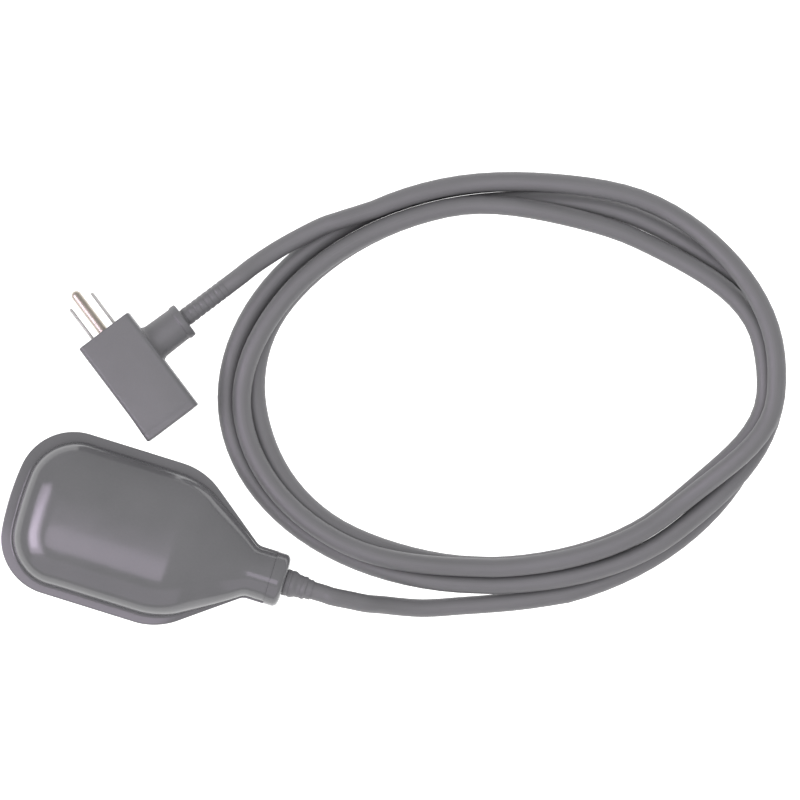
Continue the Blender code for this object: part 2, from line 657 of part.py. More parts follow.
# ---------------------------------------------------------------------------------------------
# The switch case
# ---------------------------------------------------------------------------------------------
def build_case():
    half = CASE_WIDTH / 2
    case = box("switch_case", (CASE_X0, -half, CASE_FLOOR_Z), (CASE_X1, half, CASE_TOP),
               CASE_PLASTIC)
    ear_half = EAR_WIDTH / 2
    for i, (x0, x1) in enumerate(((CASE_X0 - EAR_REACH, CASE_X0 + CASE_WALL / 2),
                                  (CASE_X1 - CASE_WALL / 2, CASE_X1 + EAR_REACH))):
        join(case, box(f"ear_{i}", (x0, -ear_half, CASE_FLOOR_Z), (x1, ear_half, CASE_FLOOR_TOP)))
    cut(case, box("case_room", (CASE_X0 + CASE_WALL, -half + CASE_WALL, CASE_FLOOR_TOP),
                  (CASE_X1 - CASE_WALL, half - CASE_WALL, CASE_TOP + OVERRUN)))
    for i, x in enumerate(screw_places()):
        cut(case, bar(f"ear_hole_{i}", (x, 0, CASE_FLOOR_Z - OVERRUN),
                      (x, 0, CASE_FLOOR_TOP + OVERRUN), SCREW_RADIUS + GAP, sides=16))
        name = ("case_screw_rear", "case_screw_front")[i]
        head = CASE_FLOOR_TOP + GAP
        turned(name, [(head + SCREW_HEAD_HEIGHT, 0.0),
                      (head + SCREW_HEAD_HEIGHT, SCREW_HEAD_RADIUS * 0.7),
                      (head + SCREW_HEAD_HEIGHT / 2, SCREW_HEAD_RADIUS),
                      (head, SCREW_HEAD_RADIUS), (head, SCREW_RADIUS),
                      (CASE_FLOOR_TOP - SCREW_LENGTH, SCREW_RADIUS),
                      (CASE_FLOOR_TOP - SCREW_LENGTH, 0.0)],
               (x, 0, 0), (0, 0, 1), STEEL, sides=16)

    # stops under the rocker's ends: the one at the closed end carries it at rest
    rest = radians(REST_TILT)
    low_end = TROUGH_HALF_LENGTH - TROUGH_WALL / 2
    stop_top = PIVOT_Z + TROUGH_FLOOR_Z * cos(rest) - TROUGH_HALF_LENGTH * sin(rest) - GAP
    foot = CASE_FLOOR_Z + CASE_WALL / 2
    for i, x in enumerate((PIVOT_X - low_end, PIVOT_X + low_end)):
        join(case, box(f"stop_{i}", (x - STOP_LENGTH / 2, ROCKER_CENTRE_Y - STOP_WIDTH / 2, foot),
                       (x + STOP_LENGTH / 2, ROCKER_CENTRE_Y + STOP_WIDTH / 2, stop_top)))

    # bosses in the side walls that take the rocker's pin, and the wires' way out
    pin_half = half - CASE_WALL / 2
    lug_room = LUG_WIDTH / 2 + GAP
    for i, (y0, y1) in enumerate(((-pin_half, ROCKER_CENTRE_Y - lug_room),
                                  (ROCKER_CENTRE_Y + lug_room, pin_half))):
        join(case, box(f"pin_post_{i}", (PIVOT_X - PIN_POST_LENGTH / 2, y0, foot),
                       (PIVOT_X + PIN_POST_LENGTH / 2, y1, PIVOT_Z + PIN_RADIUS / 2)))
    pin_bore = PIN_RADIUS + PIN_FIT
    cut(case, bar("pin_bore", (PIVOT_X, -half - OVERRUN, PIVOT_Z),
                  (PIVOT_X, half + OVERRUN, PIVOT_Z), pin_bore))
    cut(case, box("pin_drop_in", (PIVOT_X - pin_bore, -half + CASE_WALL, PIVOT_Z),
                  (PIVOT_X + pin_bore, half - CASE_WALL, PIVOT_Z + 2 * PIN_RADIUS)))
    way_half = (STRIP_WIDTH + WIRE_DIAMETER) / 2
    cut(case, box("wire_way", (CASE_X1 - 2 * CASE_WALL, SWITCH_MID_Y - way_half, SWITCH_FOOT),
                  (CASE_X1 + OVERRUN, SWITCH_MID_Y + way_half, SWITCH_TOP)))
    bar("rocker_pin", (PIVOT_X, -half, PIVOT_Z), (PIVOT_X, half, PIVOT_Z), PIN_RADIUS, STEEL,
        sides=16)
    box("switch_case_lid", (CASE_X0, -half, LID_Z), (CASE_X1, half, LID_Z + LID_THICKNESS),
        CASE_PLASTIC)


# ---------------------------------------------------------------------------------------------
# Rocker, ball and snap switch
# ---------------------------------------------------------------------------------------------
def build_rocker():
    """The rocker and ball, in axes at the pin that lean with the rocker."""
    pivot = frame("rocker_axis", (PIVOT_X, 0, PIVOT_Z), (0, -radians(REST_TILT), 0))
    y0 = ROCKER_CENTRE_Y - TROUGH_HALF_WIDTH
    y1 = ROCKER_CENTRE_Y + TROUGH_HALF_WIDTH
    length, wall = TROUGH_HALF_LENGTH, TROUGH_WALL
    rocker = box("ball_rocker", (-length, y0, TROUGH_FLOOR_Z), (length, y1, TROUGH_WALL_TOP),
                 CASE_PLASTIC, pivot)
    cut(rocker, box("trough_room", (-length + wall, y0 + wall, TROUGH_FLOOR_TOP),
                    (length - wall, y1 - wall, TROUGH_WALL_TOP + OVERRUN), parent=pivot))
    lug_half = LUG_WIDTH / 2
    join(rocker, box("lug", (-LUG_LENGTH / 2, ROCKER_CENTRE_Y - lug_half, -LUG_DROP),
                     (LUG_LENGTH / 2, ROCKER_CENTRE_Y + lug_half, TROUGH_FLOOR_Z + wall / 2),
                     parent=pivot))
    finger = PRESS_FINGER_WIDTH / 2
    join(rocker, box("finger", (PRESS_ARM - finger, y1 - wall / 2, PRESS_FINGER_Z),
                     (PRESS_ARM + finger, SWITCH_MID_Y + PLUNGER_RADIUS + PRESS_FINGER_REACH,
                      TROUGH_WALL_TOP - wall / 4), parent=pivot))
    cut(rocker, bar("lug_bore", (0, ROCKER_CENTRE_Y - lug_half - OVERRUN, 0),
                    (0, ROCKER_CENTRE_Y + lug_half + OVERRUN, 0), PIN_RADIUS + PIN_FIT,
                    parent=pivot))

    bm = bmesh.new()
    bmesh.ops.create_uvsphere(bm, u_segments=24, v_segments=12, radius=BALL_RADIUS)
    ball = place("steel_ball", bm, STEEL, pivot)
    ball.location = (BALL_REST_X, ROCKER_CENTRE_Y, BALL_Z)
    ball.data.shade_smooth()


def plunger_top():
    """Height of the plunger at rest: just under the leaning finger's lowest point over it."""
    lean = tan(radians(REST_TILT))
    over = PRESS_ARM - PLUNGER_RADIUS
    return PIVOT_Z + PRESS_FINGER_Z / cos(radians(REST_TILT)) + over * lean - GAP


def build_snap_switch():
    x0, x1, y0, y1 = SWITCH_START_X, SWITCH_X1, SWITCH_Y, SWITCH_Y1
    inner_y1 = y1 - SWITCH_COVER - GAP
    wall = SWITCH_WALL
    room_x1 = LEAF_ROOT_X + ROOT_ROOM
    base = box("microswitch_base", (x0, y0, SWITCH_FOOT), (x1, inner_y1, SWITCH_TOP),
               SWITCH_PLASTIC)
    cut(base, box("switch_room", (x0 + wall, y0 + wall, SWITCH_FOOT + wall),
                  (room_x1, inner_y1 + OVERRUN, SWITCH_TOP - wall)))
    cut(base, bar("plunger_bore", (PLUNGER_X, SWITCH_MID_Y, SWITCH_TOP - 2 * wall),
                  (PLUNGER_X, SWITCH_MID_Y, SWITCH_TOP + OVERRUN), PLUNGER_RADIUS + PLUNGER_FIT,
                  sides=16))
    box("microswitch_cover", (x0, y1 - SWITCH_COVER, SWITCH_FOOT), (x1, y1, SWITCH_TOP),
        SWITCH_PLASTIC)

    # the terminals are strips; the closed one leaves the switch's far end, the others the near end
    tip_x = LEAF_ROOT_X - LEAF_LENGTH + CONTACT_RADIUS
    swing = LEAF_RATIO * PRESS_SWEEP * (LEAF_ROOT_X - tip_x)
    button = CONTACT_HEIGHT
    leaf_half = LEAF_THICKNESS / 2
    closed_z = LEAF_Z + leaf_half + button + GAP + button
    open_z = LEAF_Z - leaf_half - button - swing - GAP - button
    strip_half = STRIP_WIDTH / 2
    tail_x = x1 + STRIP_TAIL
    strips = (("closed_terminal", x0 - STRIP_TAIL, tip_x + CONTACT_RADIUS, closed_z, -button),
              ("common_terminal", LEAF_ROOT_X + GAP, tail_x, LEAF_Z - STRIP_THICKNESS / 2, 0.0),
              ("open_terminal", tip_x - CONTACT_RADIUS, tail_x, open_z - STRIP_THICKNESS, button))
    for name, start, end, z, contact in strips:
        strip = box(name, (start, SWITCH_MID_Y - strip_half, z),
                    (end, SWITCH_MID_Y + strip_half, z + STRIP_THICKNESS), BRASS)
        if contact:
            face = z if contact < 0 else z + STRIP_THICKNESS
            join(strip, bar(f"{name}_contact", (tip_x, SWITCH_MID_Y, face - contact / 2),
                            (tip_x, SWITCH_MID_Y, face + contact), CONTACT_RADIUS, sides=12))
        slot = (x0 - OVERRUN, x0 + 2 * wall) if start < x0 else (room_x1 - OVERRUN, x1 + OVERRUN)
        cut(base, box(f"{name}_slot", (slot[0], SWITCH_MID_Y - strip_half - GAP, z - GAP),
                      (slot[1], SWITCH_MID_Y + strip_half + GAP, z + STRIP_THICKNESS + GAP)))

    leaf = box("snap_leaf", (LEAF_ROOT_X - LEAF_LENGTH, SWITCH_MID_Y - LEAF_WIDTH / 2,
                             LEAF_Z - leaf_half),
               (LEAF_ROOT_X, SWITCH_MID_Y + LEAF_WIDTH / 2, LEAF_Z + leaf_half), NICKEL)
    join(leaf, bar("leaf_contact", (tip_x, SWITCH_MID_Y, LEAF_Z - leaf_half - button),
                   (tip_x, SWITCH_MID_Y, LEAF_Z + leaf_half + button), CONTACT_RADIUS, sides=12))

    foot = LEAF_Z + leaf_half + PLUNGER_FOOT_GAP
    turned("switch_plunger", [(plunger_top(), 0.0), (plunger_top(), PLUNGER_RADIUS),
                              (foot, PLUNGER_RADIUS), (foot, 0.0)],
           (PLUNGER_X, SWITCH_MID_Y, 0), (0, 0, 1), PLUNGER_PLASTIC, sides=16)

    # two wires from the cord's end to the switch
    start_x = tail_x + GAP
    outside = ENTRY_INSIDE - CASE_X1
    for name, level, side, look in (("common_wire", LEAF_Z, 1, WIRE_DARK),
                                    ("switched_wire", open_z - STRIP_THICKNESS / 2, -1,
                                     WIRE_WHITE)):
        spread = side * CORD_RADIUS * 0.42
        way = [(start_x, SWITCH_MID_Y, level), (start_x + WIRE_DIAMETER, SWITCH_MID_Y, level),
               (CASE_X1 + 0.16 * outside, SWITCH_MID_Y - 0.0006 + side * 0.0006, level + 0.0006),
               (CASE_X1 + 0.48 * outside, SWITCH_MID_Y * 0.55 + side * 0.0012,
                AXIS_Z - 0.0042 + side * 0.0004),
               (CASE_X1 + 0.76 * outside, 0.0012 + spread, AXIS_Z - 0.0006),
               (ENTRY_INSIDE - GAP - WIRE_DIAMETER, spread, AXIS_Z),
               (ENTRY_INSIDE - GAP, spread, AXIS_Z)]
        tube(name, smooth_route(way, 2.5 * WIRE_DIAMETER), WIRE_DIAMETER, look)


# ---------------------------------------------------------------------------------------------
# The cord
# ---------------------------------------------------------------------------------------------
def smooth_route(points, spacing):
    """Points about one spacing apart on a smooth curve through a route's own points."""
    own = [np.array(p, dtype=float) for p in points]
    guide = [2 * own[0] - own[1], *own, 2 * own[-1] - own[-2]]
    route = []
    for before, start, end, after in zip(guide, guide[1:], guide[2:], guide[3:]):
        leave, arrive = (end - before) / 2, (after - start) / 2
        count = max(1, ceil(np.linalg.norm(end - start) / spacing))
        for i in range(count):
            u = i / count
            route.append((2 * u ** 3 - 3 * u ** 2 + 1) * start + (u ** 3 - 2 * u ** 2 + u) * leave
                         + (3 * u ** 2 - 2 * u ** 3) * end + (u ** 3 - u ** 2) * arrive)
    route.append(own[-1])
    return route


def between_stations(table, step):
    """Values at a step between a table's stations, level at each station."""
    for near, far in zip(table, table[1:]):
        if step <= far[0]:
            share = eased((step - near[0]) / (far[0] - near[0]))
            return [a + (b - a) * share for a, b in zip(near[1:], far[1:])]
    return list(table[-1][1:])


def lie_of_strand(step):
    """Where the strand lies in its bundle, as (outward, upward) in strand pitches."""
    if step <= LOOP_STEPS:
        _, direction, pitches = LOOP_LINKS[0]
        lift_steps = LOOP_STEPS - FIRST_LOOP_LIFT_STEP
        lift = eased((step - FIRST_LOOP_LIFT_STEP) / lift_steps) * pitches * sin(radians(direction))
        return np.array((between_stations(FIRST_LOOP, step)[0], lift))
    direction, pitches = between_stations(LOOP_LINKS, step - LOOP_STEPS)
    link = pitches * np.array((cos(radians(direction)), sin(radians(direction))))
    return lie_of_strand(step - LOOP_STEPS) + link


def coil_point(step):
    """A point of the coil: its place on the oval, moved by how the strand lies."""
    angle = COIL_START + 2 * pi * step / LOOP_STEPS
    outward = Vector((COIL_SHORT_RADIUS * cos(angle), COIL_LONG_RADIUS * sin(angle), 0.0))
    outward.normalize()
    out, up = lie_of_strand(step)
    point = Vector((COIL_LONG_RADIUS * cos(angle), COIL_SHORT_RADIUS * sin(angle), 0.0))
    point += outward * out * STRAND_PITCH
    point = COIL_CENTRE + Matrix.Rotation(COIL_TILT, 3, 'Z') @ point
    point.z = CORD_RADIUS + up * STRAND_PITCH
    return point


def coil_route():
    """The coil's centre line, with a straight run of one cord diameter at each end."""
    points = [coil_point(step) for step in range(COIL_STEPS + 1)]
    lead_in = (points[0] - points[1]).normalized() * CORD_DIAMETER
    lead_out = (points[-1] - points[-2]).normalized() * CORD_DIAMETER
    return [points[0] + lead_in, *points, points[-1] + lead_out]


def tail_route(first, first_way, own, last, last_way):
    """A free stretch between two straight runs; the ways point into the stretch."""
    run = CORD_DIAMETER
    way = [first, first + first_way * run, *own, last + last_way * run, last]
    return smooth_route(way, TAIL_POINT_SPACING)


def least_gap(centre_line, apart):
    """Least clear air between two strands of one tube, from points along its centre line."""
    fine = []
    for start, end in zip(centre_line, centre_line[1:]):
        count = ceil((end - start).length * 6 / CORD_DIAMETER)
        fine += [start.lerp(end, i / count) for i in range(count)]
    fine = np.array([tuple(p) for p in fine])
    along = np.concatenate(([0.0], np.cumsum(np.linalg.norm(np.diff(fine, axis=0), axis=1))))
    least = 1.0
    for point, where in zip(fine, along):
        others = fine[np.abs(along - where) > apart]
        least = min(least, np.linalg.norm(others - point, axis=1).min())
    return least - CORD_DIAMETER


def build_cord(plug):
    coil = coil_route()
    tube("cord_coil", coil, CORD_DIAMETER, GREY_RUBBER, resolution=1)
    print(f"cord_coil: least gap to itself {least_gap(coil, 5 * CORD_DIAMETER) * 1000:.2f} mm")

    inward = (coil[1] - coil[0]).normalized()
    end = coil[0] - inward * GAP
    way = Vector(FLEX_WAY).normalized()
    float_tail = tail_route(Vector(FLEX_END) + way * GAP, way, [Vector(p) for p in FLOAT_TAIL],
                            end, -inward)
    tube("cord_float_end", float_tail, CORD_DIAMETER, GREY_RUBBER)

    away = (coil[-1] - coil[-2]).normalized()
    sleeve_way = (plug.matrix_world.to_3x3() @ Vector((0, 1, 0))).normalized()
    sleeve_tip = plug.matrix_world @ Vector((STUB_X, SLEEVE_TIP + GAP, 0))
    plug_tail = tail_route(coil[-1] + away * GAP, away, [Vector(p) for p in PLUG_TAIL],
                           sleeve_tip, sleeve_way)
    tube("cord_plug_end", plug_tail, CORD_DIAMETER, GREY_RUBBER)


# ---------------------------------------------------------------------------------------------
# The piggyback plug
# ---------------------------------------------------------------------------------------------
def build_jacket(plug):
    half_y, half_z = JACKET_WIDTH / 2, JACKET_HEIGHT / 2
    jacket = box("plug_jacket", (PLUG_FRONT, -half_y, -half_z), (PLUG_REAR, half_y, half_z),
                 GREY_PLUG, plug, edge=JACKET_EDGE)
    stub = turned("stub", [(STUB_END, 0.0), (STUB_END, STUB_TIP_RADIUS - STUB_EDGE),
                           (STUB_END - STUB_EDGE, STUB_TIP_RADIUS),
                           (half_y - JACKET_WALL / 2, STUB_ROOT_RADIUS),
                           (half_y - JACKET_WALL / 2, 0.0)],
                  (STUB_X, 0, 0), (0, 1, 0), parent=plug, sides=32)
    join(jacket, stub)
    cut(jacket, box("jacket_room", (PLUG_FRONT - OVERRUN, -half_y + JACKET_WALL,
                                    -half_z + JACKET_WALL),
                    (PLUG_REAR + OVERRUN, half_y - JACKET_WALL, half_z - JACKET_WALL),
                    parent=plug))
    cut(jacket, bar("stub_bore", (STUB_X, 0, 0), (STUB_X, STUB_END + OVERRUN, 0),
                    STUB_BORE_RADIUS, parent=plug))

    # ribbed sleeve that the cord leaves through
    rib = SLEEVE_LENGTH / SLEEVE_RIBS
    profile = [(SLEEVE_TIP, 0.0)]
    for i in range(SLEEVE_RIBS):
        end = SLEEVE_TIP - i * rib
        profile += [(end, SLEEVE_RADIUS), (end - rib * 0.6, SLEEVE_RADIUS),
                    (end - rib * 0.8, SLEEVE_RADIUS - SLEEVE_GROOVE)]
    seat = STUB_BORE_RADIUS - GAP
    profile += [(STUB_END, SLEEVE_RADIUS), (STUB_END, seat), (SLEEVE_ROOT, seat),
                (SLEEVE_ROOT, 0.0)]
    turned("plug_strain_relief", profile, (STUB_X, 0, 0), (0, 1, 0), GREY_PLUG, plug, sides=16)


def build_prongs(plug):
    inside = CARRIER_X1 + PRONG_INSIDE
    carrier = box("blade_carrier", (CARRIER_X0, -INSERT_HALF_Y, -INSERT_HALF_Z),
                  (CARRIER_X1, INSERT_HALF_Y, INSERT_HALF_Z), GREY_PLUG, plug)
    half_t, half_w = BLADE_THICKNESS / 2, BLADE_WIDTH / 2
    tip = PLUG_FRONT - BLADE_LENGTH
    for name, y in (("line_blade", LINE_Y), ("neutral_blade", NEUTRAL_Y)):
        blade = box(name, (tip, y - half_t, BLADES_Z - half_w), (inside, y + half_t,
                                                                BLADES_Z + half_w), NICKEL, plug)
        taper = blade.modifiers.new("tip", 'BEVEL')
        taper.width = BLADE_THICKNESS * 0.3
        taper.segments = 1
        hole_x = tip + BLADE_HOLE_SETBACK
        cut(blade, bar(f"{name}_hole", (hole_x, y - BLADE_THICKNESS, BLADES_Z),
                       (hole_x, y + BLADE_THICKNESS, BLADES_Z), BLADE_HOLE_RADIUS, parent=plug,
                       sides=16))
        cut(carrier, box(f"{name}_way", (CARRIER_X0 - OVERRUN, y - half_t - GAP,
                                         BLADES_Z - half_w - GAP),
                         (CARRIER_X1 + OVERRUN, y + half_t + GAP, BLADES_Z + half_w + GAP),
                         parent=plug))
    ground_tip = PLUG_FRONT - GROUND_LENGTH
    radius = GROUND_RADIUS
    rounding = [(ground_tip + radius - radius * sin(radians(a)), radius * cos(radians(a)))
                for a in (0, 30, 60)]
    turned("ground_pin", [(inside, 0.0), (inside, radius), *rounding, (ground_tip, 0.0)],
           (0, PRONG_CENTRE_Y, GROUND_Z), (1, 0, 0), BRASS, plug, sides=16)
    cut(carrier, bar("ground_way", (CARRIER_X0 - OVERRUN, PRONG_CENTRE_Y, GROUND_Z),
                     (CARRIER_X1 + OVERRUN, PRONG_CENTRE_Y, GROUND_Z), radius + GAP,
                     parent=plug))


def build_receptacle(plug):
    insert = box("receptacle_insert", (RECEPTACLE_X0, -INSERT_HALF_Y, -INSERT_HALF_Z),
                 (RECEPTACLE_X1, INSERT_HALF_Y, INSERT_HALF_Z), GREY_PLUG, plug)
    pocket = CLIP_HALF + GAP
    half_h = SLOT_HEIGHT / 2
    for name, y in (("line_contact", LINE_Y), ("neutral_contact", NEUTRAL_Y)):
        cut(insert, box(f"{name}_pocket", (RECEPTACLE_X0 - OVERRUN, y - pocket,
                                           BLADES_Z - half_h - GAP),
                        (CLIP_X1 + GAP, y + pocket, BLADES_Z + half_h + GAP), parent=plug))
        cut(insert, box(f"{name}_slot", (CLIP_X1 - OVERRUN, y - SLOT_WIDTH / 2,
                                         BLADES_Z - half_h),
                        (RECEPTACLE_X1 + OVERRUN, y + SLOT_WIDTH / 2, BLADES_Z + half_h),
                        parent=plug))
        clip = box(name, (CLIP_X0, y - CLIP_HALF, BLADES_Z - half_h),
                   (CLIP_X1, y + CLIP_HALF, BLADES_Z + half_h), BRASS, plug)
        cut(clip, box(f"{name}_mouth", (CLIP_X0 + CLIP_METAL, y - CLIP_MOUTH / 2,
                                        BLADES_Z - half_h - OVERRUN),
                      (CLIP_X1 + OVERRUN, y + CLIP_MOUTH / 2, BLADES_Z + half_h + OVERRUN),
                      parent=plug))
    bore = GROUND_RADIUS + GAP
    outer = bore + CLIP_METAL
    cut(insert, bar("ground_pocket", (RECEPTACLE_X0 - OVERRUN, PRONG_CENTRE_Y, GROUND_Z),
                    (CLIP_X1 + GAP, PRONG_CENTRE_Y, GROUND_Z), outer + GAP, parent=plug))
    cut(insert, bar("ground_hole", (CLIP_X1 - OVERRUN, PRONG_CENTRE_Y, GROUND_Z),
                    (RECEPTACLE_X1 + OVERRUN, PRONG_CENTRE_Y, GROUND_Z), bore, parent=plug))
    turned("ground_contact", [(CLIP_X1, bore), (CLIP_X1, outer), (CLIP_X0, outer), (CLIP_X0, bore)],
           (0, PRONG_CENTRE_Y, GROUND_Z), (1, 0, 0), BRASS, plug, sides=20)


def build_plug_wiring(plug):
    prong_end = CARRIER_X1 + PRONG_INSIDE + GAP
    half_w, half_t = STRAP_WIDTH / 2, STRAP_THICKNESS / 2
    strap_end = CLIP_X0 - GAP
    box("neutral_strap", (prong_end, NEUTRAL_Y - half_t, BLADES_Z - half_w),
        (strap_end, NEUTRAL_Y + half_t, BLADES_Z + half_w), BRASS, plug)
    ground_seat = GROUND_RADIUS + GAP + CLIP_METAL / 2
    strap = box("ground_strap", (prong_end, PRONG_CENTRE_Y - half_w, GROUND_Z - half_t),
                (strap_end, PRONG_CENTRE_Y + half_w, GROUND_Z + half_t), BRASS, plug)
    join(strap, box("ground_strap_foot", (strap_end - STRAP_THICKNESS, PRONG_CENTRE_Y - half_w,
                                          GROUND_Z - half_t),
                    (strap_end, PRONG_CENTRE_Y + half_w, GROUND_Z + ground_seat), parent=plug))
    spread = CORE_SPREAD
    top = SLEEVE_ROOT - GAP
    bend = INSERT_HALF_Y - 0.0025
    middle_z = BLADES_Z + 0.001
    tube("plug_line_wire", smooth_route([
        (STUB_X - spread, top, 0), (STUB_X - spread, top - 0.003, 0),
        (STUB_X - spread, bend, middle_z / 2), (prong_end + 0.0028, LINE_Y + 0.0006, BLADES_Z),
        (prong_end + 0.0012, LINE_Y, BLADES_Z), (prong_end, LINE_Y, BLADES_Z)],
        2.5 * WIRE_DIAMETER), WIRE_DIAMETER, WIRE_DARK, plug)
    tube("plug_return_wire", smooth_route([
        (STUB_X + spread, top, 0), (STUB_X + spread, top - 0.003, 0),
        (STUB_X + spread + 0.0004, bend, middle_z / 2), (STUB_X + 0.0062, LINE_Y + 0.0012, BLADES_Z),
        (strap_end - 0.002, LINE_Y, BLADES_Z), (strap_end, LINE_Y, BLADES_Z)],
        2.5 * WIRE_DIAMETER), WIRE_DIAMETER, WIRE_WHITE, plug)


# ---------------------------------------------------------------------------------------------
# Assembly
# ---------------------------------------------------------------------------------------------
build_shells()
build_gland()
build_case()
build_rocker()
build_snap_switch()
plug_axes = frame("plug_axes", (*PLUG_CENTRE, JACKET_HEIGHT / 2), (0, 0, radians(PLUG_TURN)))
bpy.context.view_layer.update()
build_cord(plug_axes)
build_jacket(plug_axes)
build_prongs(plug_axes)
build_receptacle(plug_axes)
build_plug_wiring(plug_axes)
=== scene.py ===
"""The dressed tethered float switch: a grey float with a ball switch inside, a coil of grey cord
and a piggyback plug, seen from straight above over a pale floor.

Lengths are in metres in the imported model's own frame: +X from the float's closed end to its cord,
+Z up, the origin under the middle of the float.
"""

import bmesh
import bpy
import numpy as np
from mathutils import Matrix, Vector


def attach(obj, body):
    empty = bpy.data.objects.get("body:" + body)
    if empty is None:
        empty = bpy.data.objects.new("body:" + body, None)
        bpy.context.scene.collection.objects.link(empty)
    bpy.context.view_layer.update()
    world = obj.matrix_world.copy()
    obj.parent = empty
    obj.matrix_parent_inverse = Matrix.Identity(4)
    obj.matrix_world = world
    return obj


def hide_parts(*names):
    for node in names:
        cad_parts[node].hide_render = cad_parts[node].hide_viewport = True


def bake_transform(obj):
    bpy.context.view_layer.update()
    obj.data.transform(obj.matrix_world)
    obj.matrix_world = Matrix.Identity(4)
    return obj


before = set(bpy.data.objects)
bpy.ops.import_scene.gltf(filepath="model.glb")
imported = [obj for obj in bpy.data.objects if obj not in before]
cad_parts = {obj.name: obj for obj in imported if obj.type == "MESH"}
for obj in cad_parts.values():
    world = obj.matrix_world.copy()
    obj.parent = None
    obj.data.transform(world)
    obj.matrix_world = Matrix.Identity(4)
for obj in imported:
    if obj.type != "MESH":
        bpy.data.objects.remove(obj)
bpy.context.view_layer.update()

scene = bpy.context.scene

# ---------------------------------------------------------------------------------------------
# Camera, floor and light. The photograph looks straight down from afar, turned a little about
# the vertical, on a white sheet under broad soft light, with softboxes above, on the left and in
# front that show in the float's gloss.
# ---------------------------------------------------------------------------------------------
VIEW_CENTRE = (0.0945, 0.0986)
VIEW_TURN = np.radians(17.3)
VIEW_WIDTH = 0.380
OBJECT_MIDDLE = 0.016
SENSOR, LENS = 36.0, 400.0
camera_data = bpy.data.cameras.new("view")
camera_data.sensor_width = SENSOR
camera_data.lens = LENS
camera_data.clip_end = 20.0
camera = bpy.data.objects.new("view", camera_data)
camera.location = (*VIEW_CENTRE, OBJECT_MIDDLE + VIEW_WIDTH * LENS / SENSOR)
camera.rotation_euler = (0.0, 0.0, VIEW_TURN)
scene.collection.objects.link(camera)
scene.camera = camera
scene.view_settings.view_transform = 'Standard'
scene.view_settings.look = 'None'

world = bpy.data.worlds.new("studio")
world.use_nodes = True
world.node_tree.nodes["Background"].inputs["Color"].default_value = (1.0, 1.0, 1.0, 1.0)
world.node_tree.nodes["Background"].inputs["Strength"].default_value = 0.6
scene.world = world


def softbox(name, place, aim, size, radiance, color=(0.92, 0.78, 1.0), gloss=True):
    """A soft panel at place that faces aim: a violet-white one that is seen in gloss alone, or
    one that only lights."""
    light = bpy.data.lights.new(name, 'AREA')
    light.shape = 'RECTANGLE'
    light.size, light.size_y = size
    light.energy = radiance * np.pi * size[0] * size[1]
    light.color = color
    made = bpy.data.objects.new(name, light)
    made.location = place
    made.rotation_euler = (Vector(aim) - Vector(place)).to_track_quat('-Z', 'Y').to_euler()
    made.visible_diffuse = not gloss
    made.visible_glossy = gloss
    made.visible_camera = False
    scene.collection.objects.link(made)


softbox("ceiling", (0.09, 0.1, 5.2), (0.09, 0.1001, 0.0), (7.0, 7.0), 2.0, (1.0, 1.0, 1.0), False)
softbox("softbox_above", (-0.15, -0.225, 1.05), (-0.15, -0.224, 0.0), (0.60, 0.33), 3.0)
softbox("softbox_left", (-0.850, -0.310, 0.860), (-0.053, -0.010, 0.038), (0.90, 0.60), 4.5)
softbox("softbox_left_core", (-0.838, -0.306, 0.850), (-0.053, -0.010, 0.038), (0.60, 0.34), 6.0)
softbox("softbox_front", (0.0, -1.6, 1.1), (0.0, 0.0, 0.0), (3.0, 1.6), 0.7)


def grid_faces(rows, columns, wrap_rows=False, wrap_columns=False):
    """Corner numbers of the faces of a grid of points, row after row; a wrapped way joins its
    last row or column to its first."""
    row = np.arange(rows if wrap_rows else rows - 1)[:, None]
    column = np.arange(columns if wrap_columns else columns - 1)[None, :]
    next_row, next_column = (row + 1) % rows, (column + 1) % columns
    corners = (row * columns + column, row * columns + next_column,
               next_row * columns + next_column, next_row * columns + column)
    return np.stack(np.broadcast_arrays(*corners), axis=-1).reshape(-1, 4)


def new_piece(name, points, faces, finish, sharp=40.0, corner_uv=None, cut_end=False):
    """A mesh from points and four-cornered faces, with doubled points merged at poles and seams
    and its faces turned outwards. The flat rim of a cut end is filled with one face."""
    mesh = bpy.data.meshes.new(name)
    mesh.from_pydata(points.reshape(-1, 3).tolist(), [], faces.tolist())
    if corner_uv is not None:
        layer = mesh.uv_layers.new(name="run")
        layer.data.foreach_set("uv", corner_uv.astype(np.float32).ravel())
    bm = bmesh.new()
    bm.from_mesh(mesh)
    bmesh.ops.remove_doubles(bm, verts=bm.verts, dist=0.000002)
    if cut_end:
        rim = [edge for edge in bm.edges if edge.is_boundary]
        bmesh.ops.holes_fill(bm, edges=rim, sides=len(rim))
    bmesh.ops.recalc_face_normals(bm, faces=bm.faces)
    bm.to_mesh(mesh)
    bm.free()
    mesh.shade_smooth()
    mesh.set_sharp_from_angle(angle=np.radians(sharp))
    piece = bpy.data.objects.new(name, mesh)
    scene.collection.objects.link(piece)
    mesh.materials.append(finish)
    return piece


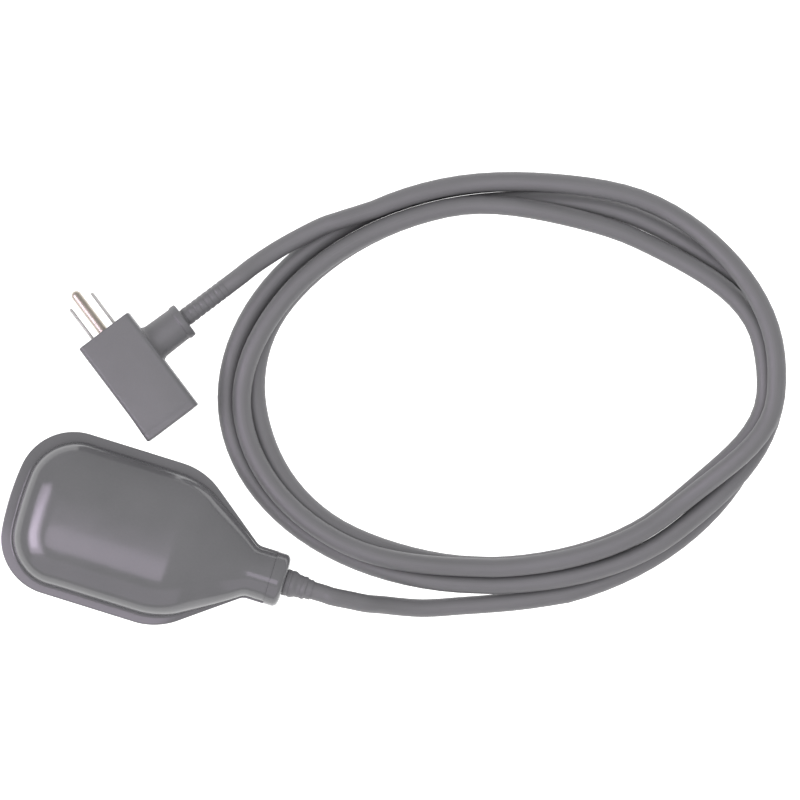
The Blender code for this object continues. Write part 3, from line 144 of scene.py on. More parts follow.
# the sheet lies below the reach of the float, which hangs from its cord at its lower limit
FLOOR_HALF, FLOOR_Z = 3.0, -0.125
floor_finish = bpy.data.materials.new("white_sheet")
floor_finish.use_nodes = True
floor_shader = floor_finish.node_tree.nodes["Principled BSDF"]
floor_shader.inputs["Base Color"].default_value = (0.93, 0.93, 0.93, 1.0)
floor_shader.inputs["Roughness"].default_value = 0.9
floor_shader.inputs["Specular IOR Level"].default_value = 0.1
floor_shader.inputs["Emission Color"].default_value = (1.0, 1.0, 1.0, 1.0)
floor_shader.inputs["Emission Strength"].default_value = 0.65
floor_ends = np.array((-FLOOR_HALF, FLOOR_HALF))
floor_points = np.stack(np.broadcast_arrays(floor_ends[:, None], floor_ends[None, :],
                                            np.array(FLOOR_Z)), axis=-1)
floor = new_piece("floor", floor_points, grid_faces(2, 2), floor_finish)
if floor.data.polygons[0].normal.z < 0:
    floor.data.flip_normals()


# ---------------------------------------------------------------------------------------------
# Materials: how a finish is written down. Every finish starts from Object coordinates in metres,
# so that its grain has the same size on every piece.
# ---------------------------------------------------------------------------------------------
class Signal:
    """One output in a material. Arithmetic on it adds Math nodes."""

    def __init__(self, socket):
        self.socket = socket

    def node(self, kind, settings, values, output=0):
        """Add a node of a kind, set its settings and then its sockets, and give an output."""
        tree = self.socket.id_data
        made = tree.nodes.new(kind)
        for name, value in settings.items():
            setattr(made, name, value)
        for name, value in values.items():
            if isinstance(value, Signal):
                tree.links.new(value.socket, made.inputs[name])
            else:
                made.inputs[name].default_value = value
        return Signal(made.outputs[output])

    def math(self, operation, first, second):
        return self.node("ShaderNodeMath", {"operation": operation}, {0: first, 1: second})

    def __add__(self, other):
        return self.math('ADD', self, other)

    __radd__ = __add__

    def __mul__(self, other):
        return self.math('MULTIPLY', self, other)

    __rmul__ = __mul__

    def noise(self, scale, detail=2.0, stretch=(1.0, 1.0, 1.0)):
        """Cloudy noise from 0 to 1, scale cells to the metre; stretch draws it out."""
        turned = self.node("ShaderNodeMapping", {}, {"Vector": self, "Scale": stretch})
        return self.node("ShaderNodeTexNoise", {}, {"Vector": turned, "Scale": scale,
                                                    "Detail": detail})

    def ramp(self, low, high, at=(0.3, 0.7)):
        """The signal from low to high between two places."""
        return self.node("ShaderNodeMapRange", {}, {"Value": self, "From Min": at[0],
                                                    "From Max": at[1], "To Min": low,
                                                    "To Max": high})

    def blend(self, first, second):
        """A colour from first to second as the signal goes from 0 to 1."""
        return self.node("ShaderNodeMix", {"data_type": 'RGBA'},
                         {0: self, 6: (*first, 1.0), 7: (*second, 1.0)}, output=2)

    def bump(self, depth, under=None):
        """A normal from the signal as a height of depth metres, over another normal."""
        values = {"Height": self, "Distance": depth, "Strength": 1.0}
        if under is not None:
            values["Normal"] = under
        return self.node("ShaderNodeBump", {}, values)


def start_finish(name, metallic=0.0, source="Object"):
    """An empty finish: the material and its coordinates."""
    made = bpy.data.materials.new(name)
    made.use_nodes = True
    made.node_tree.nodes["Principled BSDF"].inputs["Metallic"].default_value = metallic
    coordinates = made.node_tree.nodes.new("ShaderNodeTexCoord")
    return made, Signal(coordinates.outputs[source])


def end_finish(made, color, roughness, normal):
    """Give a finish its colour, roughness and relief."""
    shader = made.node_tree.nodes["Principled BSDF"]
    for name, value in (("Base Color", color), ("Roughness", roughness), ("Normal", normal)):
        made.node_tree.links.new(value.socket, shader.inputs[name])
    return made


def grey_moulding(name, tone, gloss, grain_depth):
    """Moulded grey plastic: a slightly violet grey that drifts in slow clouds, paler where it is
    handled, over a fine sprayed grain."""
    made, place = start_finish(name)
    clouds = place.noise(28.0, 3.0)
    specks = place.noise(900.0, 2.0)
    dark = tuple(c * tone * 0.94 for c in (0.98, 0.97, 1.02))
    pale = tuple(c * tone * 1.06 for c in (1.0, 0.98, 1.04))
    color = (clouds.ramp(0.0, 1.0) * 0.8 + specks.ramp(0.0, 0.2)).blend(dark, pale)
    roughness = place.noise(60.0, 4.0).ramp(gloss * 0.85, gloss * 1.2)
    grain = place.noise(2600.0, 1.0).bump(grain_depth)
    return end_finish(made, color, roughness, grain)


# ---------------------------------------------------------------------------------------------
# Cord. A round rubber-jacketed cord, extruded in one length, lies in an oval coil of three and a
# half loops held by its own stiffness, with a tail to the float and one to the plug.
# ---------------------------------------------------------------------------------------------
CORD = 0.0086
GAP = 0.0003
PITCH = CORD + 0.00058
AXIS_Z = 0.021
COIL_CENTRE = np.array((0.1363, 0.1167))
COIL_LONG, COIL_SHORT = 0.1348, 0.1007
COIL_TILT = np.radians(21.2)
COIL_START = np.radians(-97.0)
LOOP, STEPS, FINE = 24, 86, 4
# step and outward offset of the first loop, in strand pitches
FIRST_LOOP = np.array(((0, 0.15), (6, -0.6), (10, -0.1), (18, -0.75), (24, -0.907)))
FIRST_LIFT = 19
# step, direction in degrees (0 outward, 90 on top, 180 inward) and pitches to the next loop's
# strand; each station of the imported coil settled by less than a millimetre, to close the loops up
LINKS = np.array((
    (0, 156.5, 1.121), (3, 115.5, 1.051), (6, 63.5, 1.041), (7, 63.5, 1.083), (10, 128.5, 1.05),
    (13, 179.5, 0.994), (16, 179, 1.119), (19, 180, 1.594), (22, 178, 1.091), (24, 203, 1.042),
    (27, 196.5, 1.217), (30, 122, 1.018), (31, 128, 1.015), (34, 160.5, 1.056), (37, 91, 1.005),
    (40, 83, 1.021), (43, 40.5, 1.098), (46, 56.5, 1.009), (48, 85.5, 0.989), (51, 81.5, 1.055),
    (54, 61, 1.024), (55, 57.5, 1.115), (58, 17.5, 2.056), (61, 5.5, 1.08), (62, 1, 1.064)))
FLEX_MIDDLE = (0.0876, 0.0001, 0.0207)
FLEX_END = np.array((0.1000, 0.0008, 0.0179))
FLEX_WAY = np.array((0.942, 0.09, -0.324))
FLEX_WAY /= np.linalg.norm(FLEX_WAY)
FLOAT_TAIL = ((0.1160, 0.0032, 0.0102), (0.1245, 0.0048, 0.0069), (0.1330, 0.0068, 0.0050))
PLUG_TAIL = ((0.0335, 0.1655, 0.0122), (0.0200, 0.1520, 0.0118), (0.0098, 0.1398, 0.0136))


def smooth_step(value):
    """0 to 1 with level ends: 3u^2 - 2u^3."""
    value = np.clip(value, 0.0, 1.0)
    return value * value * (3 - 2 * value)


def at_stations(table, at, column):
    """A table's column at given steps, level at each station and eased between them."""
    left = np.clip(np.searchsorted(table[:, 0], at, side="right") - 1, 0, len(table) - 2)
    share = smooth_step((at - table[left, 0]) / (table[left + 1, 0] - table[left, 0]))
    return table[left, column] * (1 - share) + table[left + 1, column] * share


def coil_line(step):
    """The coil's centre line: a point of the oval, moved outward and up by the sum of the links
    of the loops below it."""
    loops_below = np.maximum(np.ceil(step / LOOP) - 1, 0)
    own = step - LOOP * loops_below
    outward = at_stations(FIRST_LOOP, own, 1)
    first_lift = LINKS[0, 2] * np.sin(np.radians(LINKS[0, 1]))
    upward = smooth_step((own - FIRST_LIFT) / (LOOP - FIRST_LIFT)) * first_lift
    for below in range(1, int(loops_below.max()) + 1):
        counts = loops_below >= below
        at = np.where(counts, step - LOOP * below, 0.0)
        direction = np.radians(at_stations(LINKS, at, 1))
        pitches = at_stations(LINKS, at, 2) * counts
        outward = outward + pitches * np.cos(direction)
        upward = upward + pitches * np.sin(direction)
    angle = COIL_START + 2 * np.pi * step / LOOP
    normal = np.stack((COIL_SHORT * np.cos(angle), COIL_LONG * np.sin(angle)), axis=1)
    normal /= np.linalg.norm(normal, axis=1)[:, None]
    flat = np.stack((COIL_LONG * np.cos(angle), COIL_SHORT * np.sin(angle)), axis=1)
    flat = flat + normal * (outward * PITCH)[:, None]
    turn = np.array(((np.cos(COIL_TILT), np.sin(COIL_TILT)),
                     (-np.sin(COIL_TILT), np.cos(COIL_TILT))))
    return np.column_stack((flat @ turn + COIL_CENTRE, CORD / 2 + upward * PITCH))


def smooth_line(points, count=8):
    """A smooth curve through points: between two of them a cubic whose slope at each is half the
    way from its neighbour before to its neighbour after."""
    own = np.array(points, dtype=float)
    guide = np.vstack((2 * own[0] - own[1], own, 2 * own[-1] - own[-2]))[:, None]
    before, start, end, after = guide[:-3], guide[1:-2], guide[2:-1], guide[3:]
    leave, arrive = (end - before) / 2, (after - start) / 2
    u = (np.arange(count) / count)[None, :, None]
    curve = ((2 * u ** 3 - 3 * u ** 2 + 1) * start + (u ** 3 - 2 * u ** 2 + u) * leave
             + (3 * u ** 2 - 2 * u ** 3) * end + (u ** 3 - u ** 2) * arrive)
    return np.vstack((curve.reshape(-1, 3), own[-1:]))


def unit(vector):
    return vector / np.linalg.norm(vector)


def along_line(line):
    """Distance of each point of a line from its start."""
    return np.concatenate(([0.0], np.cumsum(np.linalg.norm(np.diff(line, axis=0), axis=1))))


def cord_tube(name, line, radius, finish, sides=32):
    """A tube round a line that never stands upright. At each point a circle of the given radius
    lies across the line: one of its axes is level, the other leans with the slope. The ends are
    closed by a circle of no size."""
    tangent = np.gradient(line, axis=0)
    tangent /= np.linalg.norm(tangent, axis=1)[:, None]
    level = np.cross(tangent, (0.0, 0.0, 1.0))
    level /= np.linalg.norm(level, axis=1)[:, None]
    leaning = np.cross(level, tangent)
    radius = np.broadcast_to(radius, len(line)).copy()
    line = np.vstack((line[:1], line, line[-1:]))
    level, leaning = (np.vstack((a[:1], a, a[-1:])) for a in (level, leaning))
    radius = np.concatenate(([0.0], radius, [0.0]))
    round_it = 2 * np.pi * np.arange(sides) / sides
    ring = (np.cos(round_it)[None, :, None] * level[:, None]
            + np.sin(round_it)[None, :, None] * leaning[:, None])
    points = line[:, None] + ring * radius[:, None, None]
    faces = grid_faces(len(line), sides, wrap_columns=True)
    run = along_line(line)
    near, side = np.divmod(np.arange(len(faces)), sides)
    turn = np.stack((side, side + 1, side + 1, side), axis=1) / sides * (2 * np.pi * CORD / 2)
    reach = np.stack((run[near], run[near], run[near + 1], run[near + 1]), axis=1)
    piece = new_piece(name, points, faces, finish, sharp=50.0,
                      corner_uv=np.stack((turn, reach), axis=-1))
    return piece


def cord_jacket():
    """Cord jacket: matte grey rubber with faint lines drawn along it by the extruder, a little
    chalky bloom in patches, and a fine sandy grain."""
    made, run = start_finish("cord_jacket", source="UV")
    place = run.node("ShaderNodeTexCoord", {}, {}, output=3)
    drawn = run.noise(1.0, 3.0, stretch=(2600.0, 28.0, 1.0))
    bloom = place.noise(34.0, 4.0)
    tone = drawn.ramp(0.0, 0.5) + bloom.ramp(0.0, 0.5)
    color = tone.blend((0.116, 0.114, 0.119), (0.137, 0.135, 0.142))
    roughness = bloom.ramp(0.46, 0.60)
    grain = place.noise(3200.0, 1.0).bump(0.00003)
    return end_finish(made, color, roughness, drawn.bump(0.00004, under=grain))


jacket_finish = cord_jacket()
coil_steps = np.arange(STEPS * FINE + 1) / FINE
coil = coil_line(coil_steps)
rough_coil = coil_line(np.array((0.0, 1.0, STEPS - 1.0, STEPS)))
coil_in = unit(rough_coil[1] - rough_coil[0])
coil_out = unit(rough_coil[3] - rough_coil[2])
lead_in = rough_coil[0] - coil_in * CORD
lead_out = rough_coil[3] + coil_out * CORD

PLUG_CENTRE = np.array((-0.02715, 0.07225, 0.016))
PLUG_TURN = np.radians(-35.65)
PLUG_X = np.array((np.cos(PLUG_TURN), np.sin(PLUG_TURN), 0.0))
PLUG_Y = np.array((-np.sin(PLUG_TURN), np.cos(PLUG_TURN), 0.0))
STUB_X, SLEEVE_X = -0.0086, -0.0092
STUB_END = 0.034
SLEEVE_TIP = STUB_END + 0.0245
sleeve_tip = PLUG_CENTRE + PLUG_X * SLEEVE_X + PLUG_Y * (SLEEVE_TIP + 0.00005)
float_tail = smooth_line([FLEX_END + FLEX_WAY * GAP, FLEX_END + FLEX_WAY * CORD, *FLOAT_TAIL,
                          lead_in - coil_in * CORD, lead_in])
plug_tail = smooth_line([lead_out, lead_out + coil_out * CORD, *PLUG_TAIL,
                         sleeve_tip + PLUG_Y * CORD, sleeve_tip])
cord_line = np.vstack((float_tail[:-1], lead_in, coil, lead_out, plug_tail[1:]))

# where the float's tail runs into the coil, each point moves to the mean of itself, counted twice,
# and its neighbours, pass after pass
JOIN_BEFORE, JOIN_AFTER, JOIN_PASSES = 14, 6, 8
join = cord_line[len(float_tail) - JOIN_BEFORE:len(float_tail) + JOIN_AFTER]
for _ in range(JOIN_PASSES):
    join[1:-1] = (join[:-2] + 2 * join[1:-1] + join[2:]) / 4

# neighbouring loops press together, so the jacket is a little fuller in the coil
FULLER, FULLER_WITHIN = 0.0002, 0.03
run = along_line(cord_line)
into_coil = run - run[len(float_tail) - 1]
out_of_coil = run[-len(plug_tail)] - run
fullness = (FULLER * smooth_step(into_coil / FULLER_WITHIN)
            * smooth_step(out_of_coil / FULLER_WITHIN))
cord_line[:, 2] += fullness
cord = cord_tube("cord", cord_line, CORD / 2 + fullness, jacket_finish)
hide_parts("cord_float_end", "cord_coil", "cord_plug_end")
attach(cord, "lead")

# ---------------------------------------------------------------------------------------------
# Float shells. Two vacuum-tight moulded halves, each a deep flattened dome with a flat weld
# flange round it, welded rim to rim. The dome narrows over sloping shoulders to a round neck.
# ---------------------------------------------------------------------------------------------
FLOAT_END, GLAND_FACE = -0.0686, 0.068
HALF_WIDTH, HALF_DEPTH = 0.0394, 0.021
CROWN_RADIUS, CORNER_RADIUS, SHOULDER_RADIUS = 0.130, 0.027, 0.033
TAPER, TAPER_END = np.radians(37.2), 0.0512
NECK_BLEND, NECK_END, NECK_RADIUS = 0.006, 0.061, 0.0129
WALL, FLANGE_WIDTH, SEAM_WIDTH, SEAM_HEIGHT = 0.0024, 0.0048, 0.0008, 0.0012
BODY_POWER, NECK_POWER = 3.0, 2.0
FADE_START, BELLY_FLAT = 0.010, 0.0006
FOOT_FILLET, RIM_ROUND = 0.0014, 0.0006
# the flange is this much wider at the closed end, up to here from it, and narrows over this much
END_FLANGE, END_FLANGE_REACH, END_FLANGE_EASE = 0.0009, 0.030, 0.028


def arc(centre, radius, start, end, count):
    """Points of a circle's arc between two angles, without the last."""
    angle = start + (end - start) * np.arange(count) / count
    return np.stack((centre[0] + radius * np.cos(angle), centre[1] + radius * np.sin(angle)), 1)


def straight(start, end, count):
    """Evenly spaced points of a straight line, without the last."""
    share = (np.arange(count) / count)[:, None]
    return np.array(start) * (1 - share) + np.array(end) * share


def float_outline():
    """One side of the float's outline from above: the crowned closed end, a corner arc, a
    straight side, a shoulder arc, a sloping side and a blend arc into the neck."""
    crown = np.array((FLOAT_END + CROWN_RADIUS, 0.0))
    corner_y = HALF_WIDTH - CORNER_RADIUS
    reach = CROWN_RADIUS - CORNER_RADIUS
    corner = np.array((crown[0] - np.sqrt(reach ** 2 - corner_y ** 2), corner_y))
    meet = np.arctan2(corner_y, corner[0] - crown[0])
    full_width_x = TAPER_END - (HALF_WIDTH - NECK_RADIUS) / np.tan(TAPER)
    shoulder_x = full_width_x - SHOULDER_RADIUS * np.tan(TAPER / 2)
    shoulder = (shoulder_x, HALF_WIDTH - SHOULDER_RADIUS)
    shoulder_end = (shoulder_x + SHOULDER_RADIUS * np.sin(TAPER),
                    shoulder[1] + SHOULDER_RADIUS * np.cos(TAPER))
    blend_x = TAPER_END + NECK_BLEND * np.tan(TAPER / 2)
    blend = (blend_x, NECK_RADIUS + NECK_BLEND)
    blend_start = (blend_x - NECK_BLEND * np.sin(TAPER), blend[1] - NECK_BLEND * np.cos(TAPER))
    quarter = np.pi / 2
    return np.vstack((
        arc(crown, CROWN_RADIUS, np.pi, meet, 14),
        arc(corner, CORNER_RADIUS, meet, quarter, 30),
        straight((corner[0], HALF_WIDTH), (shoulder_x, HALF_WIDTH), 22),
        arc(shoulder, SHOULDER_RADIUS, quarter, quarter - TAPER, 22),
        straight(shoulder_end, blend_start, 22),
        arc(blend, NECK_BLEND, 3 * quarter - TAPER, 3 * quarter, 10),
        straight((blend_x, NECK_RADIUS), (NECK_END, NECK_RADIUS), 6),
        [(NECK_END, NECK_RADIUS)]))


def float_shell(name, belly, finish):
    """One half of the float. Round its outline stand sections that fan out from the closed end's
    middle and then stand square to the axis. Each section runs from the crown's inside down the
    wall, out under the flange, round the rim, in over the flange, through a hollow fillet and up
    a superellipse, |across|^n + |up|^n = 1, to the crown. n falls from 3 at the body to 2 at the
    round neck. All stations are worked out for the whole outline at once."""
    side = float_outline()
    outline = np.vstack((side[:0:-1] * (1, -1), side))
    x, y = outline.T
    spine = np.maximum(x, FLOAT_END + HALF_WIDTH)
    reach = np.hypot(x - spine, y)
    fade = smooth_step((spine - FADE_START) / (TAPER_END - FADE_START))
    neck_dome = NECK_RADIUS - SEAM_WIDTH
    full = HALF_DEPTH - GAP / 2
    depth = (full + (BELLY_FLAT if belly else 0.0)) * (1 - fade) + neck_dome * fade
    power = BODY_POWER + (NECK_POWER - BODY_POWER) * fade
    end_share = smooth_step((FLOAT_END + END_FLANGE_REACH - x) / END_FLANGE_EASE)
    flange = FLANGE_WIDTH + END_FLANGE * end_share + (SEAM_WIDTH - FLANGE_WIDTH) * fade
    height = WALL + (SEAM_HEIGHT - WALL) * fade
    fillet = FOOT_FILLET * np.minimum(flange / FLANGE_WIDTH, 1.0)
    rim = np.minimum(RIM_ROUND, flange * 0.4)
    foot = reach - flange
    zero = np.zeros_like(reach)

    def dome(angle, inset):
        across = (foot - inset) * np.cos(angle) ** (2 / power)
        up = np.minimum((depth - inset) * np.sin(angle) ** (2 / power), full - inset)
        return across, up

    quarter = np.pi / 2
    stations = [(zero, np.minimum(depth - WALL, full - WALL))]
    stations += [dome(a, WALL) for a in np.linspace(quarter, 0.0, 25)[1:]]
    for a in np.linspace(-quarter, 0.0, 4):
        stations.append((reach - rim + rim * np.cos(a), rim + rim * np.sin(a)))
    for a in np.linspace(0.0, quarter, 5):
        stations.append((reach - rim + rim * np.cos(a), height - rim + rim * np.sin(a)))
    for a in np.linspace(0.0, quarter, 7):
        stations.append((foot + fillet - fillet * np.sin(a), height + fillet - fillet * np.cos(a)))
    lowest = np.arcsin(((height + fillet) / depth) ** (power / 2))
    for share in np.linspace(0.0, 1.0, 48)[1:-1]:
        stations.append(dome(lowest + (quarter - lowest) * share, 0.0))
    stations.append((zero, np.minimum(depth, full)))

    across, up = (np.stack(row) for row in zip(*stations))
    sign = -1.0 if belly else 1.0
    points = np.stack((spine + (x - spine) * across / reach, y * across / reach,
                       AXIS_Z + sign * (GAP / 2 + up)), axis=-1)
    piece = new_piece(name, points, grid_faces(*across.shape), finish, sharp=35.0, cut_end=True)
    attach(piece, "float")
    return piece


shell_finish = grey_moulding("float_shell", 0.120, 0.15, 0.000006)
upper_shell = float_shell("upper_shell", False, shell_finish)
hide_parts("float_upper_shell")
lower_shell = float_shell("lower_shell", True, shell_finish)
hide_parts("float_lower_shell")

# ---------------------------------------------------------------------------------------------
# Gland, boot and the stretch of cord that flexes. A moulded ring closes the neck on the cord,
# and a stepped rubber boot spreads the bend where the float swings on its cord.
# ---------------------------------------------------------------------------------------------
CORD_BORE = CORD / 2 + GAP
NECK_BORE = NECK_RADIUS - SEAM_WIDTH - WALL - GAP
BOOT_START, BOOT_LENGTH = GLAND_FACE + 0.00005, 0.0134


def soft_profile(corners, radius, steps=4):
    """A closed profile whose corners are rounded: each corner C becomes a parabola from A to B,
    points at the radius (at most half an edge) along its two edges: (1-u)^2 A + 2u(1-u) C +
    u^2 B. A corner on the turning axis keeps its point."""
    corners = np.array(corners, dtype=float)
    radius = np.broadcast_to(radius, len(corners)) * (corners[:, 1] > 0)
    back = np.roll(corners, 1, axis=0) - corners
    ahead = np.roll(corners, -1, axis=0) - corners
    back_length, ahead_length = (np.linalg.norm(v, axis=1) for v in (back, ahead))
    reach = np.minimum(radius, 0.48 * np.minimum(back_length, ahead_length))
    start = corners + back * (reach / back_length)[:, None]
    end = corners + ahead * (reach / ahead_length)[:, None]
    u = np.linspace(0.0, 1.0, steps)[None, :, None]
    curve = ((1 - u) ** 2 * start[:, None] + 2 * u * (1 - u) * corners[:, None]
             + u ** 2 * end[:, None])
    return curve.reshape(-1, 2)


def turned(name, profile, origin, axis, finish, slot, sides=64):
    """A closed profile of (along, radius) points turned about an axis through origin."""
    axis = unit(np.array(axis, dtype=float))
    level = unit(np.cross(axis, (0.0, 0.0, 1.0)))
    upright = np.cross(level, axis)
    angle = 2 * np.pi * np.arange(sides) / sides
    ring = np.cos(angle)[:, None] * level + np.sin(angle)[:, None] * upright
    profile = np.array(profile)
    points = (np.array(origin) + profile[:, 0, None, None] * axis
              + profile[:, 1, None, None] * ring[None])
    faces = grid_faces(len(profile), sides, wrap_rows=True, wrap_columns=True)
    piece = new_piece(name, points, faces, finish)
    return piece


neck_axis = dict(origin=(0.0, 0.0, AXIS_Z), axis=(1.0, 0.0, 0.0))
spigot_start = NECK_END - 0.0038
ring_start = NECK_END + 0.00004
gland = turned("gland", soft_profile(
    [(GLAND_FACE, CORD_BORE), (GLAND_FACE, NECK_RADIUS - 0.0035),
     (GLAND_FACE - 0.0006, NECK_RADIUS - 0.0012), (GLAND_FACE - 0.0022, NECK_RADIUS),
     (ring_start, NECK_RADIUS), (ring_start, NECK_BORE), (spigot_start, NECK_BORE),
     (spigot_start, CORD_BORE)], (0.0004, 0.002, 0.0012, 0.0012, 0.0001, 0.0001, 0.0003, 0.0002),
    steps=6), finish=shell_finish, slot="float_shell", **neck_axis)
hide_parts("gland_ring")
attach(gland, "float")

boot_finish = grey_moulding("boot_rubber", 0.124, 0.50, 0.00004)
# the boot's three radii, and two shallow grooves round it
root, step, tip = 0.00645, 0.0055, 0.0048
b = BOOT_START
boot_corners = [(b + BOOT_LENGTH, CORD_BORE), (b + BOOT_LENGTH, tip), (b + 0.0108, tip),
                (b + 0.0101, step), (b + 0.0088, step), (b + 0.0082, step - 0.0003),
                (b + 0.0076, step), (b + 0.0061, step), (b + 0.0043, root), (b + 0.0028, root),
                (b + 0.0022, root - 0.0003), (b + 0.0016, root), (b, root), (b, CORD_BORE)]
boot = turned("boot", soft_profile(boot_corners, 0.0003, steps=5), finish=boot_finish,
              slot="cord_jacket", **neck_axis)
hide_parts("strain_relief_boot")
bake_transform(boot)

CORD_INSIDE = 0.046
inside = np.array((CORD_INSIDE, 0.0, AXIS_Z))
boot_end = np.array((b + BOOT_LENGTH, 0.0, AXIS_Z))
flex_line = np.vstack((straight(inside, boot_end, 16), smooth_line(
    [boot_end, FLEX_MIDDLE, FLEX_END - FLEX_WAY * CORD, FLEX_END + FLEX_WAY * 2 * GAP])))
flex = cord_tube("flexing_cord", flex_line, CORD / 2, jacket_finish)
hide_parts("cord_flex")
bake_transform(flex)


# ---------------------------------------------------------------------------------------------
# Inside of the float. A natural white case is screwed to bosses and holds a see-saw trough on a
# pin, a steel ball, and a black snap switch with brass terminals. It keeps its CAD shapes.
# ---------------------------------------------------------------------------------------------
def dress(names, finish):
    """Give CAD nodes a finish in place of their own."""
    for name in names:
        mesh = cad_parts[name].data
        mesh.materials.clear()
        mesh.materials.append(finish)


def drawn_metal(name, dark, pale, rough, along=(1.0, 1.0, 1.0)):
    """Drawn or rolled metal: fine streaks along one way, in colour, gloss and relief, with a few
    dull patches of handling."""
    made, place = start_finish(name, metallic=1.0)
    streaks = place.noise(1500.0, 3.0, stretch=along)
    patches = place.noise(160.0, 3.0)
    color = (streaks.ramp(0.0, 0.6) + patches.ramp(0.0, 0.4)).blend(dark, pale)
    roughness = streaks.ramp(rough - 0.06, rough + 0.08) + patches.ramp(0.0, 0.06)
    return end_finish(made, color, roughness, streaks.bump(0.00002))


def plain_plastic(name, dark, pale, gloss):
    """Small moulded plastic piece: slow drift of colour over a fine grain."""
    made, place = start_finish(name)
    color = place.noise(120.0, 3.0).ramp(0.0, 1.0).blend(dark, pale)
    roughness = place.noise(400.0, 2.0).ramp(gloss - 0.05, gloss + 0.06)
    return end_finish(made, color, roughness, place.noise(2600.0, 1.0).bump(0.00003))


dress(("switch_case", "switch_case_lid", "ball_rocker"),
      plain_plastic("natural_case", (0.57, 0.56, 0.51), (0.66, 0.65, 0.61), 0.48))
dress(("microswitch_base", "microswitch_cover"),
      plain_plastic("switch_black", (0.030, 0.030, 0.034), (0.050, 0.050, 0.055), 0.42))
dress(("switch_plunger",),
      plain_plastic("plunger_red", (0.38, 0.05, 0.04), (0.48, 0.08, 0.06), 0.35))
dress(("common_wire", "plug_line_wire"),
      plain_plastic("wire_black", (0.018, 0.018, 0.020), (0.032, 0.032, 0.034), 0.42))
dress(("switched_wire", "plug_return_wire"),
      plain_plastic("wire_white", (0.62, 0.62, 0.59), (0.74, 0.74, 0.71), 0.45))
dress(("cable_seal",), boot_finish)
dress(("steel_ball", "rocker_pin", "case_screw_rear", "case_screw_front", "clamp_washer"),
      drawn_metal("bright_steel", (0.46, 0.46, 0.47), (0.60, 0.60, 0.61), 0.20))
dress(("snap_leaf",), drawn_metal("spring_metal", (0.52, 0.50, 0.46), (0.66, 0.64, 0.60), 0.24))
dress(("closed_terminal", "common_terminal", "open_terminal", "line_contact", "neutral_contact",
       "ground_contact", "neutral_strap", "ground_strap"),
      drawn_metal("rolled_brass", (0.62, 0.43, 0.20), (0.76, 0.57, 0.31), 0.30, (1.0, 1.0, 6.0)))

# ---------------------------------------------------------------------------------------------
# Plug. A grey vinyl block moulded round its works, with a round stub on its side for the cord, a
# blade carrier in its front and a socket insert in its back, so that another plug rides on it.
# ---------------------------------------------------------------------------------------------
JACKET_LENGTH, JACKET_WIDTH, JACKET_HEIGHT = 0.0548, 0.029, 0.032
JACKET_WALL, JACKET_ROUND, RIM_EDGE = 0.0032, 0.0022, 0.0007
GROOVE_PLACE, GROOVE_REACH, GROOVE_DEPTH = 0.0036, 0.0003, 0.00012
FLARE, FLARE_LENGTH = 0.0005, 0.016
plug_finish = grey_moulding("plug_vinyl", 0.122, 0.44, 0.00005)


def in_plug(local):
    """Points in the plug's own axes, moved to where the plug lies."""
    return (PLUG_CENTRE + local[..., 0:1] * PLUG_X + local[..., 1:2] * PLUG_Y
            + local[..., 2:3] * np.array((0.0, 0.0, 1.0)))


def plug_jacket():
    """A square tube with rounded corners, carried along the plug: rows run from the rear inside
    to the rear rim, over the rounded edge and a shallow groove, along the outside and back in at
    the front. Each is (along, how far outside the block's side). One side flares at the rear."""
    rear, front = JACKET_LENGTH / 2, -JACKET_LENGTH / 2
    half_y, half_z = JACKET_WIDTH / 2, JACKET_HEIGHT / 2
    wall, edge = JACKET_WALL, RIM_EDGE
    quarter = np.linspace(0.0, np.pi / 2, 5)
    rows = [(rear - edge / 2, -wall), (rear, -wall + edge / 2)]
    rows += [(rear - edge + edge * np.cos(a), -edge + edge * np.sin(a)) for a in quarter]
    groove = rear - GROOVE_PLACE
    rows += [(groove + GROOVE_REACH, 0.0), (groove, -GROOVE_DEPTH), (groove - GROOVE_REACH, 0.0)]
    rows += [(along, 0.0) for along in np.linspace(rear - 0.006, front + 0.002, 20)]
    rows += [(front + edge - edge * np.sin(a), -edge + edge * np.cos(a)) for a in quarter]
    rows += [(front, -wall + edge / 2), (front + edge / 2, -wall)]
    along, inset = np.array(rows).T
    inner = inset <= -wall + 1e-9
    round_off = np.where(inner, 0.0009, np.maximum(JACKET_ROUND + inset, 0.0012))
    flare = FLARE * smooth_step((along - rear + FLARE_LENGTH) / FLARE_LENGTH)
    corner = np.linspace(0.0, np.pi / 2, 9)
    turn = (np.arange(4)[:, None] * np.pi / 2 + corner[None, :]).ravel()
    sign_y = np.repeat((1, -1, -1, 1), len(corner))
    sign_z = np.repeat((1, 1, -1, -1), len(corner))
    hold_y = (half_y + inset - round_off)[:, None] * sign_y
    hold_z = (half_z + inset - round_off)[:, None] * sign_z
    y = (hold_y + round_off[:, None] * np.cos(turn)
         - flare[:, None] * (sign_y < 0) * (~inner)[:, None])
    z = hold_z + round_off[:, None] * np.sin(turn)
    points = in_plug(np.stack(np.broadcast_arrays(along[:, None], y, z), axis=-1))
    faces = grid_faces(*y.shape, wrap_rows=True, wrap_columns=True)
    piece = new_piece("plug_body", points, faces, plug_finish, sharp=45.0)
    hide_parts("plug_jacket")
    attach(piece, "lead")
    return piece


body = plug_jacket()
side = JACKET_WIDTH / 2
stub_origin = PLUG_CENTRE + PLUG_X * STUB_X
STUB_BORE = 0.0049
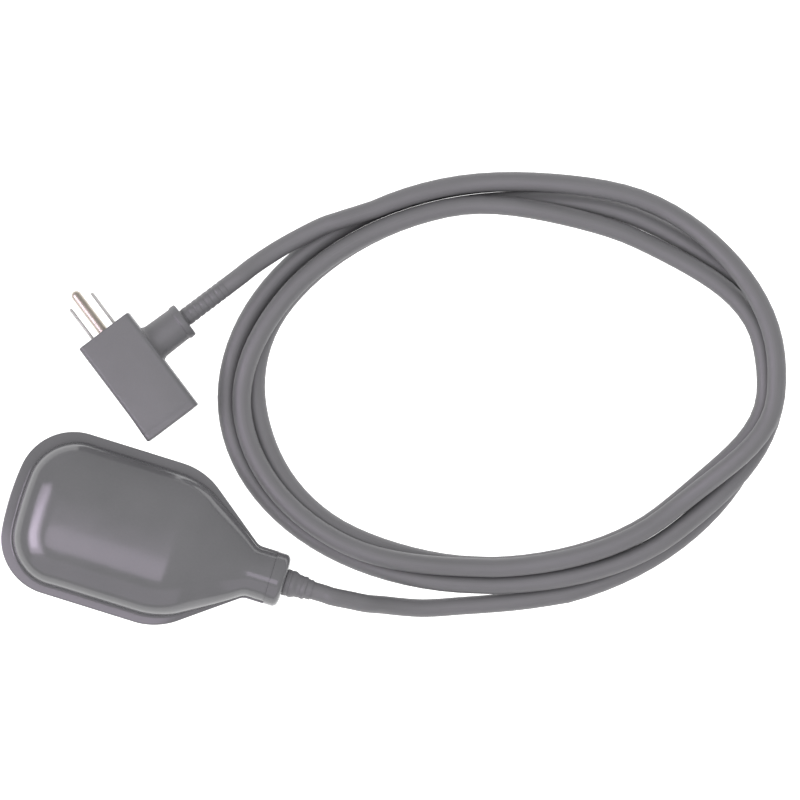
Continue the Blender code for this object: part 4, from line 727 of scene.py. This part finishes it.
# the stub: an end collar, a waist, and a foot that spreads into the block's side
stub_corners = [(STUB_END, STUB_BORE), (STUB_END, 0.0088), (STUB_END - 0.0030, 0.0089),
                (STUB_END - 0.0036, 0.0084), (STUB_END - 0.0042, 0.0084),
                (side + 0.0016, 0.0087), (side - 0.0002, 0.0099), (side - 0.0022, 0.0099),
                (side - 0.0022, STUB_BORE)]
stub = turned("plug_stub", soft_profile(
    stub_corners, (0.0004, 0.0010, 0.0005, 0.0004, 0.0005, 0.0016, 0.0003, 0.0003, 0.0003),
    steps=6), stub_origin, PLUG_Y, plug_finish, "plug_moulding")
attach(stub, "lead")

SLEEVE_RIBS, SLEEVE_RADIUS, SLEEVE_GROOVE = 8, 0.0044, 0.0002
pitch = (SLEEVE_TIP - STUB_END) / SLEEVE_RIBS
sleeve_corners = [(SLEEVE_TIP, 0.0)]
for rib in range(SLEEVE_RIBS):
    end = SLEEVE_TIP - rib * pitch
    sleeve_corners += [(end, SLEEVE_RADIUS), (end - pitch * 0.60, SLEEVE_RADIUS),
                       (end - pitch * 0.68, SLEEVE_RADIUS - SLEEVE_GROOVE),
                       (end - pitch * 0.92, SLEEVE_RADIUS - SLEEVE_GROOVE)]
sleeve_seat, sleeve_root = STUB_BORE - 3 * GAP, STUB_END - 0.009
sleeve_corners += [(STUB_END, SLEEVE_RADIUS), (STUB_END, sleeve_seat), (sleeve_root, sleeve_seat),
                   (sleeve_root, 0.0)]
sleeve_origin = PLUG_CENTRE + PLUG_X * SLEEVE_X
sleeve = turned("plug_sleeve", soft_profile(sleeve_corners, 0.0003), sleeve_origin, PLUG_Y,
                plug_finish, "plug_moulding", sides=48)
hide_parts("plug_strain_relief")
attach(sleeve, "lead")

dress(("blade_carrier", "receptacle_insert"), plug_finish)
dress(("line_blade", "neutral_blade"),
      drawn_metal("plated_blades", (0.48, 0.48, 0.46), (0.62, 0.62, 0.59), 0.28, (1.0, 1.0, 5.0)))

# the pin: its radius, how far it reaches in and out from the block's face, and its place in it
GROUND_RADIUS, GROUND_IN, GROUND_OUT = 0.0024, 0.0159, 0.0234
GROUND_PLACE = (0.0, -0.0004, 0.0064)
ground_inside, ground_tip = -JACKET_LENGTH / 2 + GROUND_IN, -JACKET_LENGTH / 2 - GROUND_OUT
ground_origin = in_plug(np.array(GROUND_PLACE))
nose = [(ground_tip + GROUND_RADIUS * (1 - np.sin(a)), GROUND_RADIUS * np.cos(a))
        for a in np.linspace(0.0, np.pi / 2, 9)]
pin_finish = drawn_metal("pin_brass", (0.38, 0.34, 0.29), (0.50, 0.455, 0.40), 0.36)
ground = turned("ground_prong", [(ground_inside, 0.0), (ground_inside, GROUND_RADIUS), *nose],
                ground_origin, PLUG_X, pin_finish, "brass", sides=40)
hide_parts("ground_pin")
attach(ground, "lead")
